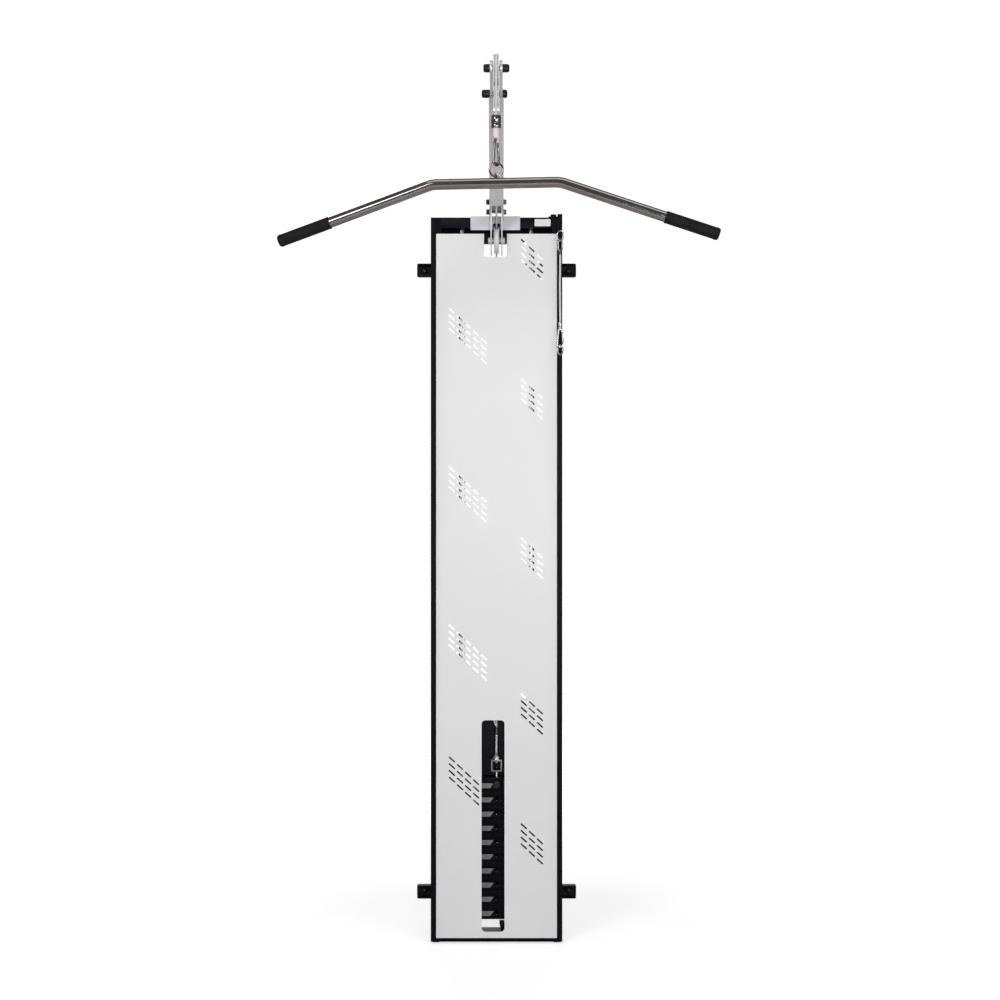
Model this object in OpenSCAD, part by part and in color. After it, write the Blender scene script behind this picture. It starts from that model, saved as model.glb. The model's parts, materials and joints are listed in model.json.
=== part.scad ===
// Wall-mounted pull-down tower: frame, folded cover, weight stack, pulley arm and lat bar.
// X runs across, Y=0 is the wall and the front faces -Y, Z is up from the floor.

/* [Frame] */
// Width across the two uprights
tower_w = 380; // [360:5:420]
// Height from the floor to the top of the frame
tower_h = 2095; // [2090:1:2100]
// Width of an upright tube seen from the front
tube_w = 30; // [25:1:35]
// Depth of the frame tubes from front to back
tube_d = 50; // [50:1:60]
// Wall thickness of the frame tubes
tube_wall = 3; // [2:0.5:4]
// Height of the plastic feet
foot_h = 3; // [3:1:10]

/* [Wall rails] */
// Length of a wall rail
rail_l = 466; // [456:1:480]
// Height of a wall rail
rail_h = 38; // [34:1:46]
// Depth of a wall rail, which sets the gap between frame and wall
rail_d = 25; // [25:1:30]
// Distance between the wall bolt holes along a rail
bolt_pitch_x = 422; // [410:1:430]
// Height of the lower rail's centre
rail_z_low = 135; // [100:5:150]
// Height of the upper rail's centre
rail_z_high = 1950; // [1900:5:1980]

/* [Cover] */
// Width of the folded cover
cover_w = 348; // [330:2:350]
// Height of the cover's lower edge
cover_z0 = 17; // [15:1:20]
// Height of the cover's upper edge
cover_z1 = 2046; // [2020:1:2046]
// Sheet thickness of the cover
sheet_t = 2; // [1.5:0.5:3]
// How far the cover stands in front of the frame
cover_proud = 15; // [15:1:20]
// Length of a vent slot from end to end
slot_l = 23.5; // [18:0.5:26]
// Width of a vent slot
slot_w = 4.5; // [3:0.5:5]
// Angle of the vent slots below the horizontal
slot_angle = 42.5; // [35:0.5:50]

/* [Weight stack] */
// Height of the underside of the stack
stack_z0 = 68; // [66:1:75]
// Thickness of one weight plate
plate_t = 41; // [38:1:42]
// Width of a weight plate
plate_w = 290; // [270:2:300]
// Diameter of a guide rod
rod_d = 20; // [16:1:22]
// Distance between the guide rods
rod_pitch = 200; // [180:2:220]

/* [Cable and pulleys] */
// Diameter of the coated cable
cable_d = 5.5; // [4:0.5:6]
// Radius from a pulley's axle to the middle of the cable
wrap_r = 35; // [34:1:36]
// Outer radius of a pulley
pulley_r = 39; // [38.5:0.5:39.5]
// Width of a pulley
pulley_w = 15; // [13:0.5:16]

/* [Arm] */
// Slope of the arm above the horizontal
arm_angle = 35; // [34:0.5:36]
// Distance from the wall to the tip pulley's axle
tip_reach = 530; // [520:5:540]
// Height of the tip pulley's axle
tip_z = 2413; // [2405:1:2420]
// Height of the base pulley's axle
base_z = 2025; // [2020:1:2028]
// Width of the arm tube
arm_w = 40; // [40:1:44]

/* [Lat bar] */
// Diameter of the bar tube
bar_d = 28; // [25:1:30]
// Half of the bar's straight middle
bar_flat = 168; // [150:2:190]
// Sideways reach of each sloping end
bar_run = 410; // [350:2:420]
// Slope of the bar's ends below the horizontal
bar_slope = 19.25; // [15:0.25:25]
// Height of the bar's middle
bar_z = 2104.3; // [2104:0.1:2105]
// Turn of the bar about the cable
bar_yaw = 6; // [0:1:12]
// Length of a rubber grip
grip_l = 146; // [120:2:170]

/* [Hidden] */
$fn = 48;
eps = 0.01;

black = [0.07, 0.07, 0.08];
steel = [0.75, 0.76, 0.78];
cover_grey = [0.88, 0.88, 0.90];
dark_steel = [0.32, 0.33, 0.35];

// depth positions
frame_back = -rail_d;
frame_front = frame_back - tube_d;
cover_front = frame_front - cover_proud;
inner_x = tower_w / 2 - tube_w;
bar_lo = foot_h;
bar_hi = tower_h - tube_w;

// stack positions
plate_front = -76;
plate_back = -34;
rod_y = -55;
line_y = -60;
lower_plates = 9;
head_z = stack_z0 + lower_plates * plate_t;
stack_top = head_z + plate_t;
yoke_z = stack_top + 14.5;
yoke_h = 35;
stud_nut_h = 5.5;
stud_z = yoke_z + yoke_h + stud_nut_h;
crimp_z = stud_z + 66;
crimp_h = 26;
pin_d = 9.4;
pin_hole_d = 10;
label_drop = 3.7;
stud_d = 12;

// arm and pulley positions, as [y, z]
base_axle = [line_y - wrap_r, base_z];
tip_axle = [-tip_reach, tip_z];
line_angle = atan2(tip_axle[1] - base_axle[1], base_axle[0] - tip_axle[0]);
axle_gap = 80;
guide_axle = [tip_axle[0] + axle_gap * cos(line_angle), tip_axle[1] - axle_gap * sin(line_angle)];
arm_foot = [-110, 2105];
saddle_z = 2058;
saddle_t = 3;
clamp_h = 41;
arm_bolt_gap = 40;
drop_y = tip_axle[0] - wrap_r;
arm_wall = 2.5;
cheek_x = 13.3;
cheek_t = 4;
fork_x = 8.6;
fork_t = 8.2;
fork_w = 32;
tail_l = 50;
axle_d = 10;
run_clear = 0.05;

// heights along the cable's end
stop_z = 2248;
stop_h = 34;
sleeve_z = 2222;
hook_wire = 6.5;
hook_low_r = 11;
hook_high_r = 6;
hook_rise = 49.5;
hook_z = 2162.3;
hook_yaw = 50;
ring_wire = 5;
ring_r = 17.5;
ring_z = 2139.9;

// extension cable, hanging from the hook on the right upright
ext_x = 183;
ext_y = -104;
peg_z = 2045.3;
peg_d = 7;
link_wire = 4.5;
link_r = 9;
link_rise = 9.5;
link_z = 2032.85;
link_yaw = -25;
eye_rise = 15.4;
eye_z = 2004.25;
eye_yaw = 45;
ext_d = 5.5;
ext_top = 1983;
ext_bottom = 1790;
snap_wire = 5;
snap_low_r = 8.5;
snap_high_r = 5;
snap_rise = 36.5;
snap_z = 1727.5;
cuff_r = 13.75;
cuff_wire = 4;
cuff_z = 1710;
cuff_yaw = 56;
// route of the hanging wire, as [x, y, z]
EXT_ROUTE = [
    [183, -104, 1983], [183, -104, 1974], [182.9, -104.1, 1960], [182.7, -104.3, 1945],
    [182.5, -104.6, 1930], [182.3, -104.8, 1915], [182.2, -105, 1900], [182.2, -105, 1885],
    [182.2, -105, 1870], [182.3, -104.8, 1855], [182.5, -104.6, 1840], [182.7, -104.3, 1825],
    [182.9, -104.1, 1812], [183, -104, 1800], [183, -104, 1790]
];

// vent slot groups: [left end x, top z, columns]
VENTS = [
    [-138, 1832.5, 5], [-138, 1375.5, 5], [-138, 920.5, 5], [-137, 539.3, 4],
    [70, 2030.2, 3], [70, 1629, 3], [70, 1170.2, 3], [70, 721.2, 3], [70, 347.3, 3]
];
vent_rows = 4;
vent_dx = 23.2;
vent_drop = 21.8;
vent_row = 19.3;

// ---------- helpers ----------

// block from one corner to the opposite one
module block(a, b) translate(a) cube(b - a);

// rounded plate outline, centred
module round_rect(w, h, r) {
    square([w - 2 * r, h], center = true);
    square([w, h - 2 * r], center = true);
    for (i = [-1, 1], j = [-1, 1]) translate([i * (w / 2 - r), j * (h / 2 - r)]) circle(r);
}

// outline drawn as [x, z], given a thickness along Y
module xz_slab(y0, y1) translate([0, y1, 0]) rotate([90, 0, 0]) linear_extrude(y1 - y0) children();

// outline drawn as [y, z], given a thickness along X
module yz_slab(x0, x1) translate([x0, 0, 0]) rotate([90, 0, 90]) linear_extrude(x1 - x0) children();

// cylinder along X, Y or Z from a point
module rod_x(x0, x1, y, z, d) translate([x0, y, z]) rotate([0, 90, 0]) cylinder(d = d, h = x1 - x0);
module rod_y(x, y0, y1, z, d) translate([x, y1, z]) rotate([90, 0, 0]) cylinder(d = d, h = y1 - y0);
module rod_z(x, y, z0, z1, d) translate([x, y, z0]) cylinder(d = d, h = z1 - z0);

// hexagon along X
module hex_x(x0, x1, y, z, af)
    translate([x0, y, z]) rotate([0, 90, 0]) cylinder(d = af / cos(30), h = x1 - x0, $fn = 6);

// bent round wire in the YZ plane, from angle a0 to a1 measured from +Y towards +Z
module yz_arc(c, r, a0, a1, d)
    translate([0, c[0], c[1]]) rotate([90, 0, 90]) rotate([0, 0, a0])
        rotate_extrude(angle = a1 - a0) translate([r, 0]) circle(d = d);

// bent round wire in the XZ plane, from angle a0 to a1 measured from +X towards +Z
module xz_arc(r, a0, a1, d)
    rotate([90, 0, 0]) rotate([0, 0, a0]) rotate_extrude(angle = a1 - a0) translate([r, 0]) circle(d = d);

// moves children to the arm's own frame: -Y along the arm, Z square to it
module arm_frame() translate([0, arm_foot[0], arm_foot[1]]) rotate([-arm_angle, 0, 0]) children();

// ---------- frame ----------

module upright(side) color(black) difference() {
    x0 = side * (tower_w / 2 - tube_w / 2) - tube_w / 2;
    block([x0, frame_front, foot_h], [x0 + tube_w, frame_back, tower_h]);
    block([x0 + tube_wall, frame_front + tube_wall, foot_h - 1],
          [x0 + tube_w - tube_wall, frame_back - tube_wall, tower_h - tube_wall]);
    for (z = [rail_z_low, rail_z_high])
        rod_y(x0 + tube_w / 2, frame_back - tube_wall - 1, frame_back + 1, z, 9);
}
module left_upright() upright(-1);
module right_upright() upright(1);

module crossbar(z0) difference() {
    block([-inner_x, frame_front, z0], [inner_x, frame_back, z0 + tube_w]);
    block([-inner_x - 1, frame_front + tube_wall, z0 + tube_wall],
          [inner_x + 1, frame_back - tube_wall, z0 + tube_w - tube_wall]);
}
module top_crossbar() color(black) difference() {
    crossbar(bar_hi);
    for (s = [-1, 1]) {
        rod_z(s * rod_pitch / 2, rod_y, bar_hi - 1, bar_hi + tube_wall + 1, rod_d + 0.1);
        rod_z(s * 45, -38, bar_hi - 1, tower_h + 1, 9);
    }
}
module bottom_crossbar() color(black) difference() {
    crossbar(bar_lo);
    for (s = [-1, 1])
        rod_z(s * rod_pitch / 2, rod_y, bar_lo + tube_w - tube_wall - 1, bar_lo + tube_w + 1, rod_d + 0.1);
}

module feet() color([0.03, 0.03, 0.03]) for (s = [-1, 1]) {
    x = s * (tower_w / 2 - tube_w / 2);
    block([x - 10, frame_front + 5, 0], [x + 10, frame_back - 5, foot_h]);
    block([x - tube_w / 2 + tube_wall, frame_front + tube_wall, foot_h],
          [x + tube_w / 2 - tube_wall, frame_back - tube_wall, foot_h + 12]);
}

module wall_rails() color(black) for (z = [rail_z_low, rail_z_high]) translate([0, 0, z]) difference() {
    xz_slab(-rail_d, 0) round_rect(rail_l, rail_h, 6);
    block([-rail_l / 2 - 1, -rail_d - 1, -rail_h / 2 + 3], [rail_l / 2 + 1, -3, rail_h / 2 - 3]);
    for (s = [-1, 1]) {
        rod_y(s * bolt_pitch_x / 2, -4, 1, 0, 9);
        rod_y(s * (tower_w - tube_w) / 2, -4, 1, 0, 8.5);
    }
}
module rail_blocks() color(black) for (z = [rail_z_low, rail_z_high], s = [-1, 1]) difference() {
    x = s * (tower_w - tube_w) / 2;
    block([x - 13, -rail_d, z - rail_h / 2 + 3], [x + 13, -3, z + rail_h / 2 - 3]);
    rod_y(x, -rail_d - 1, -2, z, 8.5);
}
module rail_bolts() color(dark_steel) for (z = [rail_z_low, rail_z_high], s = [-1, 1]) {
    x = s * (tower_w - tube_w) / 2;
    rod_y(x, frame_back - tube_wall - 9, 0, z, 8);
    translate([x, frame_back - tube_wall, z]) rotate([90, 0, 0]) cylinder(d = 15, h = 6.5, $fn = 6);
}

// ---------- cover ----------

module vent_slot() rotate([0, slot_angle, 0]) {
    half = (slot_l - slot_w) / 2;
    translate([-half, -sheet_t, -slot_w / 2]) cube([2 * half, 3 * sheet_t, slot_w]);
    for (s = [-1, 1]) rod_y(s * half, -sheet_t, 2 * sheet_t, 0, slot_w);
}
module vents() for (v = VENTS, c = [0 : v[2] - 1], r = [0 : vent_rows - 1])
    translate([v[0] + c * vent_dx + slot_l / 2 * cos(slot_angle), cover_front,
               v[1] - c * vent_drop - r * vent_row - slot_l / 2 * sin(slot_angle)]) vent_slot();

module front_cover() color(cover_grey) difference() {
    block([-cover_w / 2, cover_front, cover_z0], [cover_w / 2, frame_front - 1, cover_z1]);
    block([-cover_w / 2 + sheet_t, cover_front + sheet_t, cover_z0 + sheet_t],
          [cover_w / 2 - sheet_t, frame_front, cover_z1 - sheet_t]);
    xz_slab(cover_front - 1, cover_front + sheet_t + 1) translate([-10, 340]) round_rect(66, 609, 11);
    xz_slab(cover_front - 1, frame_front) translate([-3, 2030]) round_rect(66, 102, 8);
    vents();
}

module cover_brackets() color(black) for (s = [-1, 1], z = [300, 1060, 1820]) {
    x = cover_w / 2 - sheet_t;
    mirror([s < 0 ? 1 : 0, 0, 0]) {
        block([x - 14, frame_front - 2, z], [x, frame_front, z + 30]);
        block([x - 2, cover_front + 4, z], [x, frame_front - 2, z + 30]);
    }
}

module back_panel() color(black) {
    block([-inner_x, frame_back - 4, 62], [inner_x, frame_back - 2, 700]);
    block([-inner_x, frame_back - 4, bar_hi - 35], [inner_x, frame_back - 2, bar_hi]);
}

// ---------- weight stack ----------

module guide_rods() color(steel) for (s = [-1, 1])
    rod_z(s * rod_pitch / 2, rod_y, bar_lo + tube_w - tube_wall, bar_hi + tube_wall, rod_d);

module stack_rests() color(black) {
    z0 = bar_lo + tube_w;
    difference() {
        xz_slab(-74, -38) polygon([[13, z0], [125, z0], [125, 58], [8, 58]]);
        rod_z(rod_pitch / 2, rod_y, z0 - 1, 60, rod_d + 0.2);
    }
    difference() {
        xz_slab(-74, -38) polygon([[-125, z0], [-60, z0], [-60, 58], [-125, 58]]);
        rod_z(-rod_pitch / 2, rod_y, z0 - 1, 60, rod_d + 0.2);
    }
}
module stack_bumpers() color([0.05, 0.05, 0.05]) for (s = [-1, 1]) difference() {
    rod_z(s * rod_pitch / 2, rod_y, 58, stack_z0, 34);
    rod_z(s * rod_pitch / 2, rod_y, 57, stack_z0 + 1, rod_d + 0.2);
}

module plate_shape(z0, rod_bore) difference() {
    block([-plate_w / 2, plate_front, z0], [plate_w / 2, plate_back, z0 + plate_t]);
    for (s = [-1, 1]) rod_z(s * rod_pitch / 2, rod_y, z0 - 1, z0 + plate_t + 1, rod_bore);
    rod_z(0, line_y, z0 - 1, z0 + plate_t + 1, 27);
    rod_y(0, plate_front - 1, line_y - 5, z0 + plate_t / 2, pin_hole_d);
    block([-plate_w / 2 - 1, plate_front - 1, z0 - 1], [plate_w / 2 + 1, plate_front + 1.5, z0 + 1.2]);
}
module weight_plate(i) color(black) plate_shape(stack_z0 + (i - 1) * plate_t, rod_d + 1.5);

module label_shape(z0) translate([0, 0, z0 + plate_t / 2 - label_drop])
    xz_slab(plate_front - 0.4, plate_front) polygon([[-75, -7], [-18.5, -7], [-8, 7], [-75, 7]]);
module weight_labels() color([0.62, 0.62, 0.60]) for (i = [0 : lower_plates - 1])
    label_shape(stack_z0 + i * plate_t);

module top_plate() color(black) plate_shape(head_z, rod_d + 4);
module top_label() color([0.62, 0.62, 0.60]) label_shape(head_z);
module plate_bushes() color([0.2, 0.2, 0.2]) for (s = [-1, 1]) difference() {
    union() {
        rod_z(s * rod_pitch / 2, rod_y, head_z, stack_top, rod_d + 4);
        rod_z(s * rod_pitch / 2, rod_y, stack_top, stack_top + 3, 32);
    }
    rod_z(s * rod_pitch / 2, rod_y, head_z - 1, stack_top + 4, rod_d + 2 * run_clear);
}
module selector_stem() color(steel) difference() {
    union() {
        rod_z(0, line_y, stack_z0 + 4, stack_top, 25);
        rod_z(0, line_y, stack_top, yoke_z + 13, 8);
    }
    for (i = [0 : lower_plates])
        rod_y(0, line_y - 14, line_y + 14, stack_z0 + i * plate_t + plate_t / 2, pin_hole_d);
}
module selector_pin() color(steel)
    rod_y(0, plate_front - 3, line_y + 9, head_z + plate_t / 2, pin_d);
module pin_knob() color(black)
    rod_y(0, plate_front - 10, plate_front - 3, head_z + plate_t / 2, 22);

module stack_yoke() color(dark_steel) difference() {
    block([-16, line_y - 10, yoke_z], [16, line_y + 10, yoke_z + yoke_h]);
    block([-11.5, line_y - 11, yoke_z + 5], [11.5, line_y + 11, yoke_z + yoke_h - 5]);
    rod_z(0, line_y, yoke_z - 1, yoke_z + 6, 8);
    rod_z(0, line_y, yoke_z + yoke_h - 6, yoke_z + yoke_h + 1, stud_d);
}
module yoke_nut() color(black) difference() {
    translate([0, line_y, yoke_z + 5]) cylinder(d = 15, h = 7, $fn = 6);
    rod_z(0, line_y, yoke_z + 4, yoke_z + 13, 8);
}
module cable_stud() color([0.9, 0.9, 0.9]) {
    rod_z(0, line_y, yoke_z + yoke_h - 9, crimp_z, stud_d);
    translate([0, line_y, yoke_z + yoke_h]) cylinder(d = 19, h = stud_nut_h, $fn = 6);
    rod_z(0, line_y, stud_z, stud_z + 4, 37);
    translate([0, line_y, stud_z + 4]) intersection() {
        sphere(r = 13);
        cylinder(r = 14, h = 12);
    }
}
module cable_crimp() color(dark_steel) rod_z(0, line_y, crimp_z, crimp_z + crimp_h, 10);
module stack_cable() color([0.9, 0.9, 0.92]) rod_z(0, line_y, crimp_z + crimp_h, base_axle[1], cable_d);

// ---------- arm ----------

module saddle_plate() color([0.82, 0.82, 0.86]) difference() {
    union() {
        block([-75, frame_front - 5, saddle_z], [68, frame_front, tower_h + saddle_t]);
        block([-52, frame_front, tower_h], [68, frame_back, tower_h + saddle_t]);
    }
    block([-10, frame_front - 6, saddle_z - 1], [10, frame_front + 1, bar_hi + 12]);
    for (s = [-1, 1]) rod_z(s * 45, -38, tower_h - 1, tower_h + saddle_t + 1, 9);
}
module saddle_clamp() color(black) difference() {
    block([-70, -50, bar_hi - clamp_h], [70, -30, bar_hi]);
    for (s = [-1, 1]) rod_z(s * 45, -38, bar_hi - clamp_h - 1, bar_hi + 1, 9);
}
module saddle_bolts() color(dark_steel) for (s = [-1, 1]) {
    rod_z(s * 45, -38, bar_hi - clamp_h - 8, tower_h + saddle_t, 8);
    translate([s * 45, -38, tower_h + saddle_t]) cylinder(d = 15, h = 5.5, $fn = 6);
    translate([s * 45, -38, bar_hi - clamp_h - 6.5]) cylinder(d = 15, h = 6.5, $fn = 6);
}

// a point u along the arm and v above its middle line, as [y, z]
function arm_at(u, v) = [
    arm_foot[0] - u * cos(arm_angle) + v * sin(arm_angle),
    arm_foot[1] + u * sin(arm_angle) + v * cos(arm_angle)
];
module arm_cheeks() color(steel) difference() {
    for (s = [0, 1]) mirror([s, 0, 0]) yz_slab(cheek_x, cheek_x + cheek_t) polygon([
        [-80, saddle_z - 1], [-70, saddle_z - 8], [-70, 1997], [-82, 1984], [-108, 1984], [-118, 1996],
        [-132, 2088], arm_at(20, -17), arm_at(58, -17), arm_at(58, 17), arm_at(-15, 17), [-80, 2098]
    ]);
    rod_x(-20, 20, base_axle[0], base_axle[1], axle_d);
    arm_frame() for (u = [0, arm_bolt_gap]) rod_x(-20, 20, -u, 0, 8);
}

// distances along the arm from its lower bolt
guide_u = (arm_foot[0] - guide_axle[0]) * cos(arm_angle) + (guide_axle[1] - arm_foot[1]) * sin(arm_angle);
wall_end = guide_u - 13;
floor_end = guide_u + 5;
module arm_tube() color([0.80, 0.79, 0.80]) arm_frame() difference() {
    inner = arm_w / 2 - arm_wall;
    union() {
        block([-arm_w / 2, -wall_end, -arm_w / 2], [arm_w / 2, 15, arm_w / 2]);
        block([-arm_w / 2, -floor_end, -arm_w / 2], [arm_w / 2, -wall_end, -inner]);
    }
    block([-inner, -wall_end - 1, -inner], [inner, 16, inner]);
    block([-inner, -44, -arm_w / 2 - 1], [inner, 16, 0]);
    block([-9, -wall_end - 1, 0], [9, -235, arm_w / 2 + 1]);
    block([-9, -floor_end - 1, -arm_w / 2 - 1], [9, -guide_u + 43, 0]);
    for (u = [0, arm_bolt_gap]) rod_x(-arm_w, arm_w, -u, 0, 8);
}
module arm_bolts() color(dark_steel) arm_frame() for (u = [0, arm_bolt_gap]) {
    rod_x(-arm_w / 2 - 1, arm_w / 2 + 7, -u, 0, 8);
    hex_x(-arm_w / 2 - 9.5, -arm_w / 2 - 1, -u, 0, 13);
    rod_x(-arm_w / 2 - 1, -arm_w / 2, -u, 0, 17);
    hex_x(arm_w / 2, arm_w / 2 + 8, -u, 0, 13);
}

// a point u beyond the guide axle towards the tip and v above the line, as [y, z]
function fork_at(u, v) = [
    guide_axle[0] - u * cos(line_angle) + v * sin(line_angle),
    guide_axle[1] + u * sin(line_angle) + v * cos(line_angle)
];
// fork plates join the guide and tip axles and have a tail inside the arm tube
module tip_fork() color(steel) difference() {
    half = fork_w / 2;
    for (s = [0, 1]) mirror([s, 0, 0]) {
        yz_slab(fork_x, fork_x + fork_t) polygon([
            fork_at(axle_gap, half), fork_at(10, half), arm_at(guide_u - 2, half),
            arm_at(guide_u - tail_l, half), arm_at(guide_u - tail_l, 2 - half),
            arm_at(guide_u + 2, 2 - half), fork_at(axle_gap, -half)
        ]);
        rod_x(fork_x, fork_x + fork_t, tip_axle[0], tip_axle[1], 40);
        rod_x(fork_x + 1, arm_w / 2 - arm_wall, guide_axle[0] + 24, guide_axle[1] - 21, 14);
    }
    rod_x(-20, 20, guide_axle[0], guide_axle[1], axle_d);
    rod_x(-20, 20, tip_axle[0], tip_axle[1], axle_d);
}

module pulley(c) color([0.85, 0.85, 0.85]) translate([0, c[0], c[1]]) rotate([0, 90, 0]) {
    h = pulley_w / 2;
    bore = axle_d / 2 + run_clear;
    floor_r = wrap_r - cable_d / 2 - 0.25;
    rotate_extrude() polygon([
        [bore, -h], [12, -h], [13, -4], [26, -4], [27, -h], [pulley_r, -h], [pulley_r, -h + 1.2],
        [wrap_r, -3.4], [floor_r, -3.2], [floor_r, 3.2], [wrap_r, 3.4],
        [pulley_r, h - 1.2], [pulley_r, h], [27, h], [26, 4], [13, 4], [12, h], [bore, h]
    ]);
}
module base_pulley() pulley(base_axle);
module guide_pulley() pulley(guide_axle);
module tip_pulley() pulley(tip_axle);

module spacer(x0, x1, c) for (s = [0, 1]) mirror([s, 0, 0]) difference() {
    rod_x(x0, x1, c[0], c[1], 18);
    rod_x(x0 - 1, x1 + 1, c[0], c[1], axle_d);
}
module pulley_axles() color(steel) {
    rod_x(-cheek_x - cheek_t, cheek_x + cheek_t, base_axle[0], base_axle[1], axle_d);
    spacer(pulley_w / 2 + 0.4, cheek_x, base_axle);
    for (c = [guide_axle, tip_axle]) {
        rod_x(-fork_x - fork_t, fork_x + fork_t, c[0], c[1], axle_d);
        spacer(pulley_w / 2 + 0.4, fork_x, c);
    }
}
module cap(c, side, l) translate([side * (fork_x + fork_t), c[0], c[1]]) rotate([0, side * 90, 0]) {
    cylinder(d = 22, h = l - 7);
    translate([0, 0, l - 7]) cylinder(d1 = 22, d2 = 13, h = 7);
}
module axle_caps() color(black) {
    cap(tip_axle, -1, 17);
    cap(tip_axle, 1, 18);
    cap(guide_axle, -1, 22);
    cap(guide_axle, 1, 13);
    for (s = [0, 1]) mirror([s, 0, 0])
        hex_x(cheek_x + cheek_t, cheek_x + cheek_t + 7, base_axle[0], base_axle[1], 15);
}

module arm_cable() color([0.9, 0.9, 0.92]) {
    run = norm(tip_axle - base_axle);
    lift = wrap_r * [sin(line_angle), cos(line_angle)];
    for (p = [base_axle + lift, tip_axle + lift]) translate([0, p[0], p[1]]) sphere(d = cable_d + 0.3);
    yz_arc(base_axle, wrap_r, 0, 90 - line_angle, cable_d);
    translate([0, base_axle[0], base_axle[1]]) rotate([-line_angle, 0, 0])
        rod_y(0, -run, 0, wrap_r, cable_d);
    yz_arc(tip_axle, wrap_r, 90 - line_angle, 180, cable_d);
}
module drop_cable() color([0.9, 0.9, 0.92]) rod_z(0, drop_y, stop_z + stop_h, tip_axle[1], cable_d);

// ---------- cable end and lat bar ----------

module cable_stop() color(steel) rod_z(0, drop_y, stop_z, stop_z + stop_h, 26);

// spring hook outline: open on its right side, where the gate is
module hook_body(low_r, high_r, rise, d) {
    lean = asin((low_r - high_r) / rise);
    xz_arc(low_r, 180 - lean, 360 + lean, d);
    translate([0, 0, rise]) xz_arc(high_r, lean, 180 - lean, d);
    translate([-low_r * cos(lean), 0, low_r * sin(lean)]) rotate([0, lean, 0]) {
        cylinder(d = d, h = rise * cos(lean));
        sphere(d = d + 0.4);
        translate([0, 0, rise * cos(lean)]) sphere(d = d + 0.4);
    }
}
module hook_gate(low_r, high_r, rise, d) {
    lean = asin((low_r - high_r) / rise);
    low_gap = 0.6;
    top = rise * cos(lean) - 1.2;
    translate([low_r * cos(lean), 0, low_r * sin(lean)]) rotate([0, -lean, 0]) {
        translate([0, 0, low_gap]) cylinder(d = d, h = top - low_gap);
        rod_y(0, -3.5, 3.5, top - 3, 2);
    }
}
module hook_place() translate([0, drop_y, hook_z]) rotate([0, 0, hook_yaw]) children();

module hook_sleeve() color([0.9, 0.86, 0.88]) {
    rod_z(0, drop_y, sleeve_z, stop_z, 18);
    hook_place() difference() {
        translate([-2, -8, hook_rise - 3]) cube([4, 16, sleeve_z - hook_z - hook_rise + 5]);
        rod_x(-4, 4, 0, hook_rise + hook_high_r - 0.4, 8.8);
    }
}
module carabiner() color(dark_steel) hook_place() hook_body(hook_low_r, hook_high_r, hook_rise, hook_wire);
module carabiner_gate() color(dark_steel) hook_place()
    hook_gate(hook_low_r, hook_high_r, hook_rise, hook_wire);

module handle_ring() color(steel) translate([0, drop_y, ring_z]) rotate([0, 0, -bar_yaw])
    rotate([90, 0, 0]) rotate_extrude() translate([ring_r, 0]) circle(d = ring_wire);

slope_l = bar_run / cos(bar_slope);
module bar_place() translate([0, drop_y, bar_z]) rotate([0, 0, -bar_yaw]) children();
module slope_place() translate([bar_flat, 0, 0]) rotate([0, bar_slope, 0]) children();
module lat_bar() color(steel) bar_place() {
    rod_x(-bar_flat, bar_flat, 0, 0, bar_d);
    for (s = [0, 1]) mirror([s, 0, 0]) {
        translate([bar_flat, 0, 0]) sphere(d = bar_d + 1.4);
        slope_place() rod_x(0, slope_l - 4, 0, 0, bar_d);
    }
    difference() {
        union() {
            translate([-9, -9, bar_d / 2 - 4]) cube([18, 18, 6]);
            translate([-3, -8, bar_d / 2]) cube([6, 16, 14]);
        }
        rod_x(-5, 5, 0, ring_z - ring_r - bar_z, 8);
    }
}
module bar_grips() color([0.06, 0.06, 0.06]) bar_place() for (s = [0, 1]) mirror([s, 0, 0])
    slope_place() translate([slope_l - grip_l, 0, 0]) rotate([0, 90, 0]) rotate_extrude() polygon([
        [bar_d / 2, 0], [16, 0], [16.5, 2], [16.5, grip_l - 8], [14.5, grip_l - 2.5],
        [10.5, grip_l], [0, grip_l], [0, grip_l - 4], [bar_d / 2, grip_l - 4]
    ]);

// ---------- extension cable ----------

module hook_plate() color(steel) {
    block([176, frame_front - 3, 2036], [190, frame_front, 2105]);
    block([150, frame_front - 3, tower_h], [176, frame_back - 15, tower_h + 3]);
    rod_z(165, -58, tower_h + 3, tower_h + 11, 17);
    rod_y(ext_x, ext_y - 8, frame_front - 3, peg_z, peg_d);
    rod_y(ext_x, ext_y - 10, ext_y - 8, peg_z, 9.5);
}
// long link: two half rounds joined by straight sides
module long_link(r, rise, d) {
    xz_arc(r, 180, 360, d);
    translate([0, 0, rise]) xz_arc(r, 0, 180, d);
    for (s = [-1, 1]) rod_z(s * r, 0, 0, rise, d);
}
module ext_link() color(dark_steel) {
    translate([ext_x, ext_y, link_z]) rotate([0, 0, link_yaw]) long_link(link_r, link_rise, link_wire);
    translate([ext_x, ext_y, eye_z]) rotate([0, 0, eye_yaw]) long_link(link_r, eye_rise, link_wire);
    rod_z(ext_x, ext_y, ext_top, eye_z - link_r + 2, 9);
}

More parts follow.
